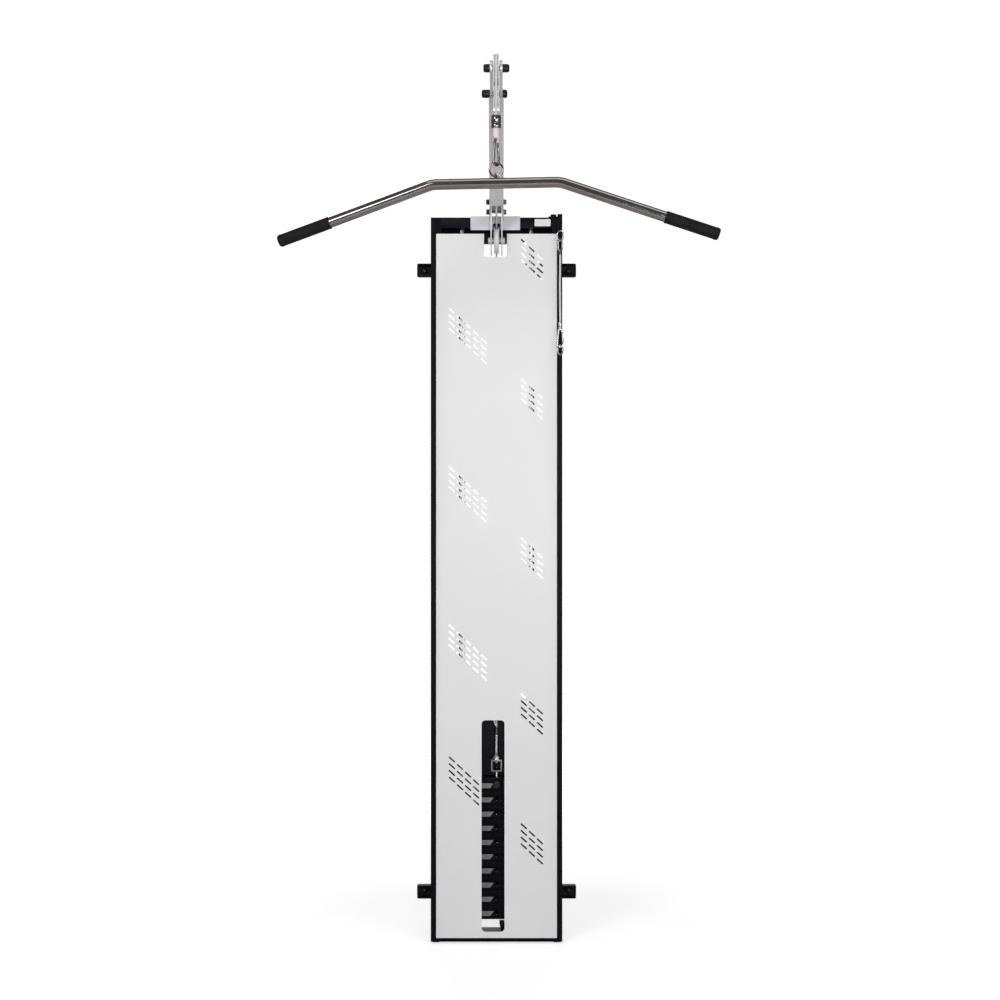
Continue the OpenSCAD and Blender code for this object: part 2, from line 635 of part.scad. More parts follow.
// tube with eight sides swept along a list of points
function ring_at(p, r, n) = [for (i = [0 : n - 1]) p + r * [cos(360 * i / n), sin(360 * i / n), 0]];
module swept(path, d, n = 8) {
    m = len(path);
    points = [for (p = path) each ring_at(p, d / 2, n)];
    sides = [for (k = [0 : m - 2], i = [0 : n - 1])
        [k * n + i, k * n + (i + 1) % n, (k + 1) * n + (i + 1) % n, (k + 1) * n + i]];
    low = [for (i = [n - 1 : -1 : 0]) i];
    high = [for (i = [0 : n - 1]) (m - 1) * n + i];
    polyhedron(points, [for (f = concat(sides, [low, high])) [for (j = [len(f) - 1 : -1 : 0]) f[j]]]);
}
module ext_cable() color([0.85, 0.85, 0.86]) swept([for (i = [len(EXT_ROUTE) - 1 : -1 : 0]) EXT_ROUTE[i]], ext_d);
module ext_snap() color(dark_steel) {
    translate([ext_x, ext_y, snap_z]) {
        hook_body(snap_low_r, snap_high_r, snap_rise, snap_wire);
        rod_z(0, 0, snap_rise + snap_high_r, ext_bottom - snap_z, 10);
    }
    translate([ext_x, ext_y, cuff_z]) rotate([90, 0, cuff_yaw]) rotate_extrude()
        translate([cuff_r, 0]) circle(d = cuff_wire);
}

left_upright();
right_upright();
top_crossbar();
bottom_crossbar();
feet();
wall_rails();
rail_blocks();
rail_bolts();
front_cover();
cover_brackets();
back_panel();
guide_rods();
stack_rests();
stack_bumpers();
for (i = [1 : lower_plates]) weight_plate(i);
weight_labels();
top_plate();
top_label();
plate_bushes();
selector_stem();
selector_pin();
pin_knob();
stack_yoke();
yoke_nut();
cable_stud();
cable_crimp();
stack_cable();
saddle_plate();
saddle_clamp();
saddle_bolts();
arm_cheeks();
arm_tube();
arm_bolts();
tip_fork();
base_pulley();
guide_pulley();
tip_pulley();
pulley_axles();
axle_caps();
arm_cable();
drop_cable();
cable_stop();
hook_sleeve();
carabiner();
carabiner_gate();
handle_ring();
lat_bar();
bar_grips();
hook_plate();
ext_link();
ext_cable();
ext_snap();
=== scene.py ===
"""Looks for a wall-mounted pull-down tower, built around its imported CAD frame."""
import json
import math

import bmesh
import bpy
from mathutils import Matrix, Vector

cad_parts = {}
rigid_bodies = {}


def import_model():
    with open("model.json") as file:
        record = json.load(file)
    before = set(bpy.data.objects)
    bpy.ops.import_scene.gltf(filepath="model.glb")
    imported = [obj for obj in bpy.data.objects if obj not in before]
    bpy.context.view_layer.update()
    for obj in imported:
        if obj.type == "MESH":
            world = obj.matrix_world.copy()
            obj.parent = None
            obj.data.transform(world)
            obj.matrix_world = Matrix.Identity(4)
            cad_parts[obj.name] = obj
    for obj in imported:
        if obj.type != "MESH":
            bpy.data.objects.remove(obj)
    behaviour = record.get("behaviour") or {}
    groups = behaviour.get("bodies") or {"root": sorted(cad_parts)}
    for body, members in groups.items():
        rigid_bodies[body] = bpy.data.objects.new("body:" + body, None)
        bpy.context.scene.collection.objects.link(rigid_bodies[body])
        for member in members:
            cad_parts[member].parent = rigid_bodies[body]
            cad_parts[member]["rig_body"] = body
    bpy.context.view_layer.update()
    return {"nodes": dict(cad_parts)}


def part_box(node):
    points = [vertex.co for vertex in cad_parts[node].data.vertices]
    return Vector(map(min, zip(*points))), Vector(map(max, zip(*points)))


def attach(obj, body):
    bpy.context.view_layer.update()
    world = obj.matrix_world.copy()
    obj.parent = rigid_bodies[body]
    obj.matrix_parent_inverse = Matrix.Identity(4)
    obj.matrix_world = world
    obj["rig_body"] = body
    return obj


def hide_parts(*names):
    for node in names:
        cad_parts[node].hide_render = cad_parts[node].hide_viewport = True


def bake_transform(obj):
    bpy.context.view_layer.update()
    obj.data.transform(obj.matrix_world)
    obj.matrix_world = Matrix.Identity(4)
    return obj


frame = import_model()

MM = 0.001
X = Vector((1, 0, 0))
Y = Vector((0, 1, 0))
Z = Vector((0, 0, 1))
TOWER = "tower"
CARRIAGE = "stack_carriage"
scene = bpy.context.scene


# ---------- places that come from the frame ----------

def low(node):
    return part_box(node)[0]


def high(node):
    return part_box(node)[1]


def middle(node):
    a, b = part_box(node)
    return (a + b) / 2


CABLE_R = (high("stack_cable").x - low("stack_cable").x) / 2
BASE_AXLE = middle("base_pulley")
GUIDE_AXLE = middle("guide_pulley")
TIP_AXLE = middle("tip_pulley")
LINE_Y = middle("stack_cable").y
WRAP_R = LINE_Y - BASE_AXLE.y
DROP_Y = middle("drop_cable").y
RING_AT = middle("handle_ring")
RING_WIRE = 2.5 * MM
RING_R = (high("handle_ring").z - low("handle_ring").z) / 2 - RING_WIRE


# ---------- camera, stage and light ----------

CAMERA_AT = Vector((0.010, -5.090, 1.279))
CAMERA_LENS = 62.5


def make_camera():
    """Level camera in front of the tower."""
    data = bpy.data.cameras.new("camera")
    data.lens = CAMERA_LENS
    data.sensor_width = 36
    data.clip_end = 60
    camera = bpy.data.objects.new("camera", data)
    camera.location = CAMERA_AT
    camera.rotation_euler = (math.radians(90), 0, 0)
    scene.collection.objects.link(camera)
    scene.camera = camera


def make_stage():
    """A flat pale floor that runs out past everything the camera sees."""
    half = 30.0
    bm = bmesh.new()
    corners = [(-half, -half), (half, -half), (half, half), (-half, half)]
    bm.faces.new([bm.verts.new((x, y, 0)) for x, y in corners])
    mesh = bpy.data.meshes.new("stage")
    bm.to_mesh(mesh)
    bm.free()
    mesh.materials.append(stage_material())
    floor = bpy.data.objects.new("stage", mesh)
    scene.collection.objects.link(floor)


def area_light(name, at, aim, size, watts):
    data = bpy.data.lights.new(name, "AREA")
    data.shape = "RECTANGLE"
    data.size, data.size_y = size
    data.energy = watts
    light = bpy.data.objects.new(name, data)
    light.location = at
    light.rotation_euler = (Vector(aim) - Vector(at)).to_track_quat("-Z", "Y").to_euler()
    scene.collection.objects.link(light)


def make_world():
    """White backdrop; the light it casts is bright from behind and soft grey all round."""
    world = bpy.data.worlds.new("studio")
    world.use_nodes = True
    tree = world.node_tree
    background = tree.nodes["Background"]
    direction = tree.nodes.new("ShaderNodeTexCoord")
    parts = tree.nodes.new("ShaderNodeSeparateXYZ")
    glow = tree.nodes.new("ShaderNodeMapRange")
    glow.interpolation_type = "SMOOTHSTEP"
    glow.inputs["From Min"].default_value = 0.80
    glow.inputs["From Max"].default_value = 0.915
    glow.inputs["To Min"].default_value = 0.16
    glow.inputs["To Max"].default_value = 1.05
    background.inputs["Color"].default_value = (1.0, 1.0, 1.0, 1)
    tree.links.new(direction.outputs["Generated"], parts.inputs["Vector"])
    tree.links.new(parts.outputs["Y"], glow.inputs["Value"])
    backdrop = tree.nodes.new("ShaderNodeMath")
    backdrop.operation = "MAXIMUM"
    seen = tree.nodes.new("ShaderNodeLightPath")
    tree.links.new(glow.outputs["Result"], backdrop.inputs[0])
    tree.links.new(seen.outputs["Is Camera Ray"], backdrop.inputs[1])
    tree.links.new(backdrop.outputs["Value"], background.inputs["Strength"])
    scene.world = world


def make_lights():
    """Soft boxes on three sides, one above and one behind."""
    area_light("key", (-2.6, -4.6, 3.6), (0, 0, 1.3), (2.2, 1.6), 71)
    area_light("fill", (2.8, -4.4, 2.0), (0, 0, 1.2), (1.8, 2.4), 40)
    area_light("front", (0.22, -5.6, 1.47), (0.1, 0, 1.4), (1.2, 1.2), 66)
    area_light("strip", (0.06, -5.3, 2.52), (0.04, 0, 1.8), (0.05, 0.03), 0.8)
    area_light("top", (0, -1.2, 4.6), (0, -0.3, 1.0), (2.6, 1.6), 18)
    area_light("behind", (0, 4.2, 3.6), (0, 0, 1.2), (2.6, 1.4), 40)
    scene.view_settings.view_transform = "Standard"
    scene.view_settings.look = "None"


# ---------- materials ----------

class Surface:
    """A procedural material: object-space noise drives its colour, roughness and bump."""

    def __init__(self, name, metallic=0.0, coat=0.0, coat_rough=0.1):
        self.material = bpy.data.materials.new(name)
        self.material.use_nodes = True
        self.tree = self.material.node_tree
        self.shader = self.tree.nodes["Principled BSDF"]
        self.shader.inputs["Metallic"].default_value = metallic
        self.shader.inputs["Coat Weight"].default_value = coat
        self.shader.inputs["Coat Roughness"].default_value = coat_rough
        self.place = self.node("ShaderNodeTexCoord").outputs["Object"]
        self.normal = None

    def node(self, kind):
        return self.tree.nodes.new(kind)

    def link(self, a, b):
        self.tree.links.new(a, b)

    def noise(self, scale, detail=4.0, rough=0.55, stretch=(1, 1, 1)):
        mapping = self.node("ShaderNodeMapping")
        mapping.inputs["Scale"].default_value = stretch
        self.link(self.place, mapping.inputs["Vector"])
        noise = self.node("ShaderNodeTexNoise")
        noise.inputs["Scale"].default_value = scale
        noise.inputs["Detail"].default_value = detail
        noise.inputs["Roughness"].default_value = rough
        self.link(mapping.outputs["Vector"], noise.inputs["Vector"])
        return noise.outputs["Fac"]

    def spread(self, value, lo, hi, src_lo=0.3, src_hi=0.7):
        node = self.node("ShaderNodeMapRange")
        node.inputs["From Min"].default_value = src_lo
        node.inputs["From Max"].default_value = src_hi
        node.inputs["To Min"].default_value = lo
        node.inputs["To Max"].default_value = hi
        self.link(value, node.inputs["Value"])
        return node.outputs["Result"]

    def mix(self, factor, first, second):
        node = self.node("ShaderNodeMix")
        node.data_type = "RGBA"
        self.link(factor, node.inputs["Factor"])
        for value, socket in ((first, node.inputs[6]), (second, node.inputs[7])):
            if isinstance(value, tuple):
                socket.default_value = (*value, 1)
            else:
                self.link(value, socket)
        return node.outputs[2]

    def colour(self, first, second, scale=30, detail=5, stretch=(1, 1, 1)):
        mixed = self.mix(self.spread(self.noise(scale, detail, 0.6, stretch), 0, 1), first, second)
        self.link(mixed, self.shader.inputs["Base Color"])
        return mixed

    def rough(self, lo, hi, scale=12, detail=6, stretch=(1, 1, 1)):
        value = self.spread(self.noise(scale, detail, 0.6, stretch), lo, hi)
        self.link(value, self.shader.inputs["Roughness"])

    def bump(self, value, strength, depth):
        node = self.node("ShaderNodeBump")
        node.inputs["Strength"].default_value = strength
        node.inputs["Distance"].default_value = depth
        self.link(value, node.inputs["Height"])
        if self.normal is not None:
            self.link(self.normal, node.inputs["Normal"])
        self.normal = node.outputs["Normal"]
        self.link(self.normal, self.shader.inputs["Normal"])


def stage_material():
    """Pale matt floor; to the camera it turns white further out and meets the backdrop."""
    s = Surface("pale_stage")
    s.colour((0.78, 0.78, 0.785), (0.80, 0.80, 0.80), 2)
    s.rough(0.75, 0.9, 5)
    s.bump(s.noise(180), 0.05, 0.001)
    distance = s.node("ShaderNodeVectorMath")
    distance.operation = "LENGTH"
    s.link(s.place, distance.inputs[0])
    white = s.node("ShaderNodeMath")
    white.operation = "MULTIPLY"
    s.link(s.spread(distance.outputs["Value"], 0.58, 0.96, 0.6, 2.4), white.inputs[0])
    s.link(s.node("ShaderNodeLightPath").outputs["Is Camera Ray"], white.inputs[1])
    s.shader.inputs["Emission Color"].default_value = (1, 1, 1, 1)
    s.link(white.outputs["Value"], s.shader.inputs["Emission Strength"])
    return s.material


def powder_black():
    """Satin black powder coat with orange peel."""
    s = Surface("powder_black")
    s.colour((0.0030, 0.0034, 0.0055), (0.0055, 0.0060, 0.0090), 35)
    s.shader.inputs["Specular IOR Level"].default_value = 0.08
    s.rough(0.34, 0.50, 9)
    s.bump(s.noise(750, 3), 0.16, 0.0003)
    s.bump(s.noise(90, 2), 0.04, 0.0008)
    return s.material


def powder_edge_wear_and_highlight():
    """The same coat on rounded edges, rubbed a little thinner, and painted lighter as an edge highlight.
    """
    s = Surface("powder_edge_wear_and_highlight")
    # Lighter edge colour: partly rubbed coat, partly a painted highlight along the edges.
    s.colour((0.006, 0.007, 0.010), (0.024, 0.025, 0.030), 70, 7)
    s.shader.inputs["Specular IOR Level"].default_value = 0.15
    s.rough(0.28, 0.46, 30)
    s.bump(s.noise(750, 3), 0.16, 0.0003)
    return s.material


def plate_black():
    """Black paint on cast weight plates."""
    s = Surface("plate_black")
    s.colour((0.0020, 0.0024, 0.0040), (0.0040, 0.0045, 0.0065), 50)
    s.shader.inputs["Specular IOR Level"].default_value = 0.05
    s.rough(0.40, 0.58, 18)
    s.bump(s.noise(420, 5), 0.20, 0.0004)
    return s.material


def plate_edge_scuff_and_highlight():
    """Plate edges, scuffed where the plates knock together, and painted lighter all round as an edge
    highlight.
    """
    s = Surface("plate_edge_scuff_and_highlight")
    # Lighter edge colour: partly scuffs, partly a painted highlight along every edge.
    s.colour((0.004, 0.004, 0.006), (0.030, 0.031, 0.036), 60, 8)
    s.shader.inputs["Specular IOR Level"].default_value = 0.12
    s.rough(0.30, 0.52, 40)
    s.bump(s.noise(420, 6), 0.25, 0.0004)
    return s.material


def cover_paint():
    """Fine-textured pale grey powder coat on sheet metal."""
    s = Surface("cover_paint")
    s.colour((0.855, 0.845, 0.855), (0.885, 0.875, 0.885), 3, 6)
    s.rough(0.33, 0.42, 6)
    s.bump(s.noise(900, 2), 0.20, 0.00025)
    s.bump(s.noise(3.5, 2), 0.03, 0.004)
    return s.material


def chrome():
    """Dark chrome with fine scratches."""
    s = Surface("chrome", metallic=1.0)
    s.colour((0.28, 0.25, 0.245), (0.34, 0.305, 0.30), 25)
    s.shader.inputs["Specular Tint"].default_value = (0.25, 0.22, 0.22, 1)
    s.rough(0.05, 0.13, 30, 8)
    s.bump(s.noise(260, 8, 0.7), 0.03, 0.0002)
    return s.material


def bright_metal():
    """Polished zinc of rods, rings and snaps."""
    s = Surface("bright_metal", metallic=1.0)
    s.colour((0.62, 0.62, 0.64), (0.74, 0.74, 0.76), 60)
    s.rough(0.14, 0.28, 50, 8)
    s.bump(s.noise(420, 6, 0.7), 0.05, 0.0002)
    return s.material


def bare_steel():
    """Satin metal with a drawn grain along its length."""
    s = Surface("bare_steel", metallic=0.55)
    s.colour((0.64, 0.63, 0.645), (0.76, 0.75, 0.765), 40, 6, (1, 0.08, 0.08))
    s.rough(0.28, 0.44, 60, 6, (1, 0.05, 0.05))
    s.bump(s.noise(700, 4, 0.6, (1, 0.05, 0.05)), 0.12, 0.0002)
    return s.material


def pale_paint():
    """Light satin enamel of the saddle."""
    s = Surface("pale_paint", coat=0.2, coat_rough=0.2)
    s.colour((0.60, 0.61, 0.67), (0.68, 0.69, 0.75), 20)
    s.rough(0.28, 0.40, 14)
    s.bump(s.noise(600, 3), 0.12, 0.0003)
    return s.material


def zinc():
    """Dull zinc plate on bolts, nuts and crimps."""
    s = Surface("zinc", metallic=1.0)
    s.colour((0.12, 0.12, 0.13), (0.22, 0.22, 0.23), 120)
    s.rough(0.22, 0.46, 150)
    s.bump(s.noise(500, 6), 0.15, 0.0002)
    return s.material


def rubber():
    """Matt black rubber with a fine grain."""
    s = Surface("rubber")
    s.colour((0.0035, 0.0035, 0.0045), (0.0080, 0.0080, 0.0095), 80)
    s.shader.inputs["Specular IOR Level"].default_value = 0.25
    s.rough(0.55, 0.78, 40)
    s.bump(s.noise(1200, 3), 0.35, 0.0004)
    s.bump(s.noise(160, 5), 0.12, 0.0006)
    return s.material


def black_plastic():
    """Moulded black plastic of feet, caps and the knob."""
    s = Surface("black_plastic")
    s.colour((0.004, 0.004, 0.005), (0.008, 0.008, 0.009), 60)
    s.shader.inputs["Specular IOR Level"].default_value = 0.3
    s.rough(0.28, 0.42, 30)
    s.bump(s.noise(800, 2), 0.12, 0.0002)
    return s.material


def pulley_plastic():
    """Pale nylon of the pulley wheels."""
    s = Surface("pulley_plastic")
    s.colour((0.74, 0.74, 0.75), (0.82, 0.82, 0.83), 40)
    s.rough(0.30, 0.46, 30)
    s.bump(s.noise(500, 4), 0.10, 0.0003)
    return s.material


def label_film():
    """Grey film of the weight labels."""
    s = Surface("label_film", coat=0.3, coat_rough=0.15)
    s.colour((0.15, 0.15, 0.145), (0.185, 0.185, 0.18), 45)
    s.rough(0.30, 0.42, 60)
    s.bump(s.noise(300, 3), 0.06, 0.0002)
    return s.material


def label_ink():
    """Dark ink of the numbers."""
    s = Surface("label_ink")
    s.colour((0.045, 0.045, 0.045), (0.07, 0.07, 0.07), 300)
    s.rough(0.5, 0.65, 90)
    return s.material


def blank_film():
    """Pale film of the blank sticker."""
    s = Surface("blank_film", coat=0.3, coat_rough=0.12)
    s.colour((0.78, 0.80, 0.80), (0.85, 0.86, 0.86), 60)
    s.rough(0.25, 0.38, 40)
    s.bump(s.noise(250, 3), 0.05, 0.0002)
    return s.material


def sleeve_nylon():
    """Slightly translucent nylon of the hook's sleeve."""
    s = Surface("sleeve_nylon")
    s.colour((0.80, 0.72, 0.75), (0.88, 0.81, 0.83), 50)
    s.shader.inputs["Subsurface Weight"].default_value = 0.15
    s.shader.inputs["Subsurface Scale"].default_value = 0.004
    s.rough(0.35, 0.5, 40)
    s.bump(s.noise(350, 4), 0.12, 0.0003)
    return s.material


def coated_cable():
    """Clear plastic over stranded wire: a twisted bump under a glossy coat."""
    s = Surface("coated_cable", coat=0.3, coat_rough=0.15)
    wave = s.node("ShaderNodeTexWave")
    wave.wave_type = "BANDS"
    wave.bands_direction = "DIAGONAL"
    wave.inputs["Scale"].default_value = 170
    wave.inputs["Distortion"].default_value = 0.4
    s.link(s.place, wave.inputs["Vector"])
    lay = s.spread(wave.outputs["Fac"], 0, 1, 0.2, 0.8)
    strands = s.mix(lay, (0.60, 0.60, 0.61), (0.86, 0.86, 0.87))
    s.link(strands, s.shader.inputs["Base Color"])
    s.rough(0.22, 0.34, 50)
    s.bump(wave.outputs["Fac"], 0.25, 0.0004)
    return s.material


# Each pair is face and edge; the edge material is painted lighter, partly as wear and partly as a
# painted highlight.
POWDER = (powder_black(), powder_edge_wear_and_highlight())
PLATE = (plate_black(), plate_edge_scuff_and_highlight())
COVER = cover_paint()
CHROME = chrome()
BRIGHT = bright_metal()
STEEL = bare_steel()
PALE = pale_paint()
ZINC = zinc()
RUBBER = rubber()
PLASTIC = black_plastic()
PULLEY = pulley_plastic()
LABEL = label_film()
INK = label_ink()
BLANK = blank_film()
NYLON = sleeve_nylon()
CABLE = coated_cable()


# ---------- mesh helpers ----------

def finished(name, bm, material, body, replaced=(), sharp=40):
    """Turns a bmesh into a piece that rides on a body; a pair of materials is face, edge (the edge one
    partly worn, partly a painted highlight).
    """
    bmesh.ops.recalc_face_normals(bm, faces=bm.faces)
    mesh = bpy.data.meshes.new(name)
    bm.to_mesh(mesh)
    bm.free()
    for one in material if isinstance(material, tuple) else (material,):
        mesh.materials.append(one)
    mesh.shade_smooth()
    mesh.set_sharp_from_angle(angle=math.radians(sharp))
    piece = bpy.data.objects.new(name, mesh)
    scene.collection.objects.link(piece)
    if body:
        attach(piece, body)
    if replaced:
        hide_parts(*replaced)
    return piece


def node_bmesh(node):
    """A clean copy of a CAD node's mesh with its flat faces made whole."""
    bm = bmesh.new()
    bm.from_mesh(frame["nodes"][node].data)
    bmesh.ops.remove_doubles(bm, verts=bm.verts, dist=0.00001)
    bmesh.ops.dissolve_limit(bm, angle_limit=math.radians(1), verts=bm.verts, edges=bm.edges)
    return bm


def sharp_edges(bm, degrees=35):
    limit = math.radians(degrees)
    return [e for e in bm.edges if len(e.link_faces) == 2 and e.calc_face_angle(0) > limit]


def bevel(bm, edges, width, segments=2, material=-1):
    bmesh.ops.bevel(
        bm, geom=edges, offset=width, offset_type="OFFSET", segments=segments,
        profile=0.5, affect="EDGES", clamp_overlap=True, material=material,
    )


def softened(node, width, material, segments=2):
    """The CAD node with its sharp edges rounded, standing for the node."""
    bm = node_bmesh(node)
    bevel(bm, sharp_edges(bm), width, segments, 1 if isinstance(material, tuple) else -1)
    source = frame["nodes"][node]
    return finished(node + "_shell", bm, material, source["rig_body"], [node])


def turning(axis):
    """Rotation that takes +Z to the axis."""
    return Z.rotation_difference(Vector(axis)).to_matrix().to_4x4()


def lathe(bm, profile, at, axis=Z, steps=48):
    """Turns a list of (radius, distance along the axis) about the axis."""
    place = Matrix.Translation(at) @ turning(axis)
    rings = []
    for radius, along in profile:
        if radius < 1e-7:
            rings.append([bm.verts.new(place @ Vector((0, 0, along)))])
            continue
        angles = [2 * math.pi * i / steps for i in range(steps)]
        rings.append([
            bm.verts.new(place @ Vector((radius * math.cos(a), radius * math.sin(a), along)))
            for a in angles
        ])
    for a, b in zip(rings, rings[1:]):
        for i in range(steps):
            j = (i + 1) % steps
            if len(a) == 1:
                bm.faces.new((a[0], b[j], b[i]))
            elif len(b) == 1:
                bm.faces.new((a[i], a[j], b[0]))
            else:
                bm.faces.new((a[i], a[j], b[j], b[i]))


def closed_lathe(bm, profile, at, axis=Z, steps=48):
    """Turns a closed outline that doesn't touch the axis."""
    lathe(bm, profile + profile[:1], at, axis, steps)
    bmesh.ops.remove_doubles(bm, verts=bm.verts, dist=0.0000005)


def sweep(bm, path, radii, sides=16, closed=False):
    """Round tube along a list of points; radii is one number or one for each point."""
    count = len(path)
    if not hasattr(radii, "__len__"):
        radii = [radii] * count
    tangents = []
    for i in range(count):
        before = path[(i - 1) % count] if closed or i > 0 else path[i]
        after = path[(i + 1) % count] if closed or i < count - 1 else path[i]
        tangents.append((after - before).normalized())
    side = tangents[0].orthogonal().normalized()
    rings = []
    for i in range(count):
        if i:
            side = tangents[i - 1].rotation_difference(tangents[i]) @ side
        side = (side - tangents[i] * side.dot(tangents[i])).normalized()
        other = tangents[i].cross(side)
        ring = []
        for k in range(sides):
            a = 2 * math.pi * k / sides
            ring.append(bm.verts.new(path[i] + radii[i] * (side * math.cos(a) + other * math.sin(a))))
        rings.append(ring)
    pairs = list(zip(rings, rings[1:]))
    if closed:
        pairs.append((rings[-1], nearest_turn(rings[-1], rings[0])))
    for a, b in pairs:
        for k in range(sides):
            n = (k + 1) % sides
            bm.faces.new((a[k], a[n], b[n], b[k]))
    if not closed:
        bm.faces.new(rings[0][::-1])
        bm.faces.new(rings[-1])


def nearest_turn(ring, target):
    """The target ring, turned so that its first point is next to the ring's first point."""
    start = min(range(len(target)), key=lambda i: (target[i].co - ring[0].co).length)
    return target[start:] + target[:start]


def arc(centre, first, second, radius, a0, a1, steps=12):
    """Points on an arc; the angle runs from the first direction to the second, in degrees."""
    points = []
    for i in range(steps + 1):
        a = math.radians(a0 + (a1 - a0) * i / steps)
        points.append(centre + radius * (first * math.cos(a) + second * math.sin(a)))
    return points


def line(a, b, steps):
    return [a.lerp(b, i / steps) for i in range(steps + 1)]


def joined(*runs):
    """Runs of points one after another, without repeated ends."""
    points = []
    for run in runs:
        for p in run:
            if not points or (p - points[-1]).length > 1e-6:
                points.append(p)
    return points


def hexagon(bm, at, axis, across, height, chamfer=0.7 * MM, spin=0.0):
    """Hexagon head or nut with chamfered corners on its outer end."""
    place = Matrix.Translation(at) @ turning(axis)
    flat = across / 2
    radius = flat / math.cos(math.radians(30))
    rings = []
    for along, r in ((0, radius), (height - chamfer, radius), (height, flat * 0.99)):
        rings.append([
            bm.verts.new(place @ Vector((r * math.cos(a), r * math.sin(a), along)))
            for a in (math.radians(60 * i) + spin for i in range(6))
        ])
    for a, b in zip(rings, rings[1:]):
        for i in range(6):
            j = (i + 1) % 6
            bm.faces.new((a[i], a[j], b[j], b[i]))
    bm.faces.new(rings[0][::-1])
    bm.faces.new(rings[-1])


def round_profile(radius, length, soft=0.8 * MM):
    """Profile of a solid round bar with softened ends."""
    return [
        (0, 0), (radius - soft, 0), (radius - soft * 0.3, soft * 0.3), (radius, soft),
        (radius, length - soft), (radius - soft * 0.3, length - soft * 0.3),
        (radius - soft, length), (0, length),
    ]


def disc(bm, radius, thickness, at, axis):
    """A plain round plate, such as a washer under a nut."""
    lathe(bm, [(0, 0), (radius, 0), (radius, thickness), (0, thickness)], at, axis, 32)


# ---------- frame and cover ----------

def make_frame():
    """The welded frame and everything fixed to it behind the cover."""
    for node in ("left_upright", "right_upright"):
        softened(node, 2.0 * MM, POWDER, 3)
    softened("top_crossbar", 1.0 * MM, POWDER)
    softened("bottom_crossbar", 1.0 * MM, POWDER)
    softened("feet", 1.2 * MM, PLASTIC)
    softened("wall_rails", 0.7 * MM, POWDER)
    softened("rail_blocks", 0.6 * MM, POWDER)
    softened("cover_brackets", 0.4 * MM, POWDER)
    softened("back_panel", 0.5 * MM, POWDER)
    softened("stack_rests", 1.0 * MM, POWDER)
    softened("stack_bumpers", 1.5 * MM, RUBBER, 3)


RAIL_HALF = 19 * MM
RAIL_WEB = 3 * MM
FRAME_BOLT_INSET = 8.66 * MM
WALL_BOLT_INSET = 22 * MM


def make_rail_bolts():
    """Frame bolts through the uprights and plastic caps on the wall bolts."""
    bolts, caps = bmesh.new(), bmesh.new()
    lo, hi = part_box("wall_rails")
    front = low("rail_bolts").y
    bolt_x = high("rail_bolts").x - FRAME_BOLT_INSET
    cap_x = hi.x - WALL_BOLT_INSET
    cap = [
        (0, 0), (9 * MM, 0), (9 * MM, 1.5 * MM), (7 * MM, 4 * MM), (4 * MM, 5 * MM), (0, 5.2 * MM),
    ]
    plug = round_profile(4.2 * MM, 3.5 * MM, 0.4 * MM)
    for side in (-1, 1):
        for z in (lo.z + RAIL_HALF, hi.z - RAIL_HALF):
            shank = round_profile(4 * MM, -front, 0.6 * MM)
            lathe(bolts, shank, Vector((side * bolt_x, front, z)), Y, 24)
            hexagon(bolts, Vector((side * bolt_x, lo.y - RAIL_WEB, z)), -Y, 13 * MM, 6.5 * MM)
            lathe(caps, cap, Vector((side * cap_x, -RAIL_WEB, z)), -Y, 28)
            lathe(caps, plug, Vector((side * cap_x, -RAIL_WEB - 0.5 * MM, z)), Y, 20)
    finished("rail_bolts_set", bolts, ZINC, TOWER, ["rail_bolts"])
    finished("wall_bolt_caps", caps, PLASTIC, TOWER)


def make_cover():
    """The folded sheet: generous radii on its folds, small ones on every cut edge."""
    bm = node_bmesh("front_cover")
    lo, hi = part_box("front_cover")
    near = 0.0001

    def on_fold(v):
        on_side = abs(abs(v.co.x) - hi.x) < near
        on_end = abs(v.co.z - lo.z) < near or abs(v.co.z - hi.z) < near
        return abs(v.co.y - lo.y) < near and (on_side or on_end)

    folds = [e for e in sharp_edges(bm) if all(on_fold(v) for v in e.verts)]
    bevel(bm, folds, 1.5 * MM, 3)
    cuts = [e for e in sharp_edges(bm, 60) if e.calc_length() > 1.0 * MM]
    bevel(bm, cuts, 0.35 * MM, 1)
    finished("cover_sheet", bm, COVER, TOWER, ["front_cover"], 30)


STICKER_X = 133 * MM
STICKER_SIZE = (46 * MM, 0.8 * MM, 20.5 * MM)


def make_blank_sticker():
    """Plain film plate on the top crossbar."""
    at = Vector((STICKER_X, low("top_crossbar").y, middle("top_crossbar").z))
    bm = bmesh.new()
    place = Matrix.Translation(at) @ Matrix.Diagonal((*STICKER_SIZE, 1))
    bmesh.ops.create_cube(bm, size=1, matrix=place)
    upright = [e for e in bm.edges if abs((e.verts[0].co - e.verts[1].co).normalized().y) > 0.9]
    bevel(bm, upright, 2.5 * MM, 4)
    finished("blank_sticker", bm, BLANK, TOWER)


# ---------- weight stack ----------

LABEL_STEP = 5
LABEL_DROP = 3.7 * MM
STUD_R = 6 * MM
STUD_NUT_H = 5.5 * MM


def make_stack():
    """Plates, labels, rods and stem, with a number on every label."""
    for i in range(1, 10):
        softened(f"weight_plate_{i}", 0.9 * MM, PLATE)
    softened("top_plate", 0.9 * MM, PLATE)
    softened("plate_bushes", 0.5 * MM, PLASTIC)
    softened("weight_labels", 0.12 * MM, LABEL, 1)
    softened("top_label", 0.12 * MM, LABEL, 1)
    softened("guide_rods", 0.8 * MM, BRIGHT)
    softened("selector_stem", 0.6 * MM, CHROME)
    softened("stack_yoke", 1.6 * MM, ZINC, 3)
    for i in range(10):
        node = "top_plate" if i == 9 else f"weight_plate_{i + 1}"
        body = CARRIAGE if i == 9 else TOWER
        make_number(str(LABEL_STEP * (10 - i)), node, body)


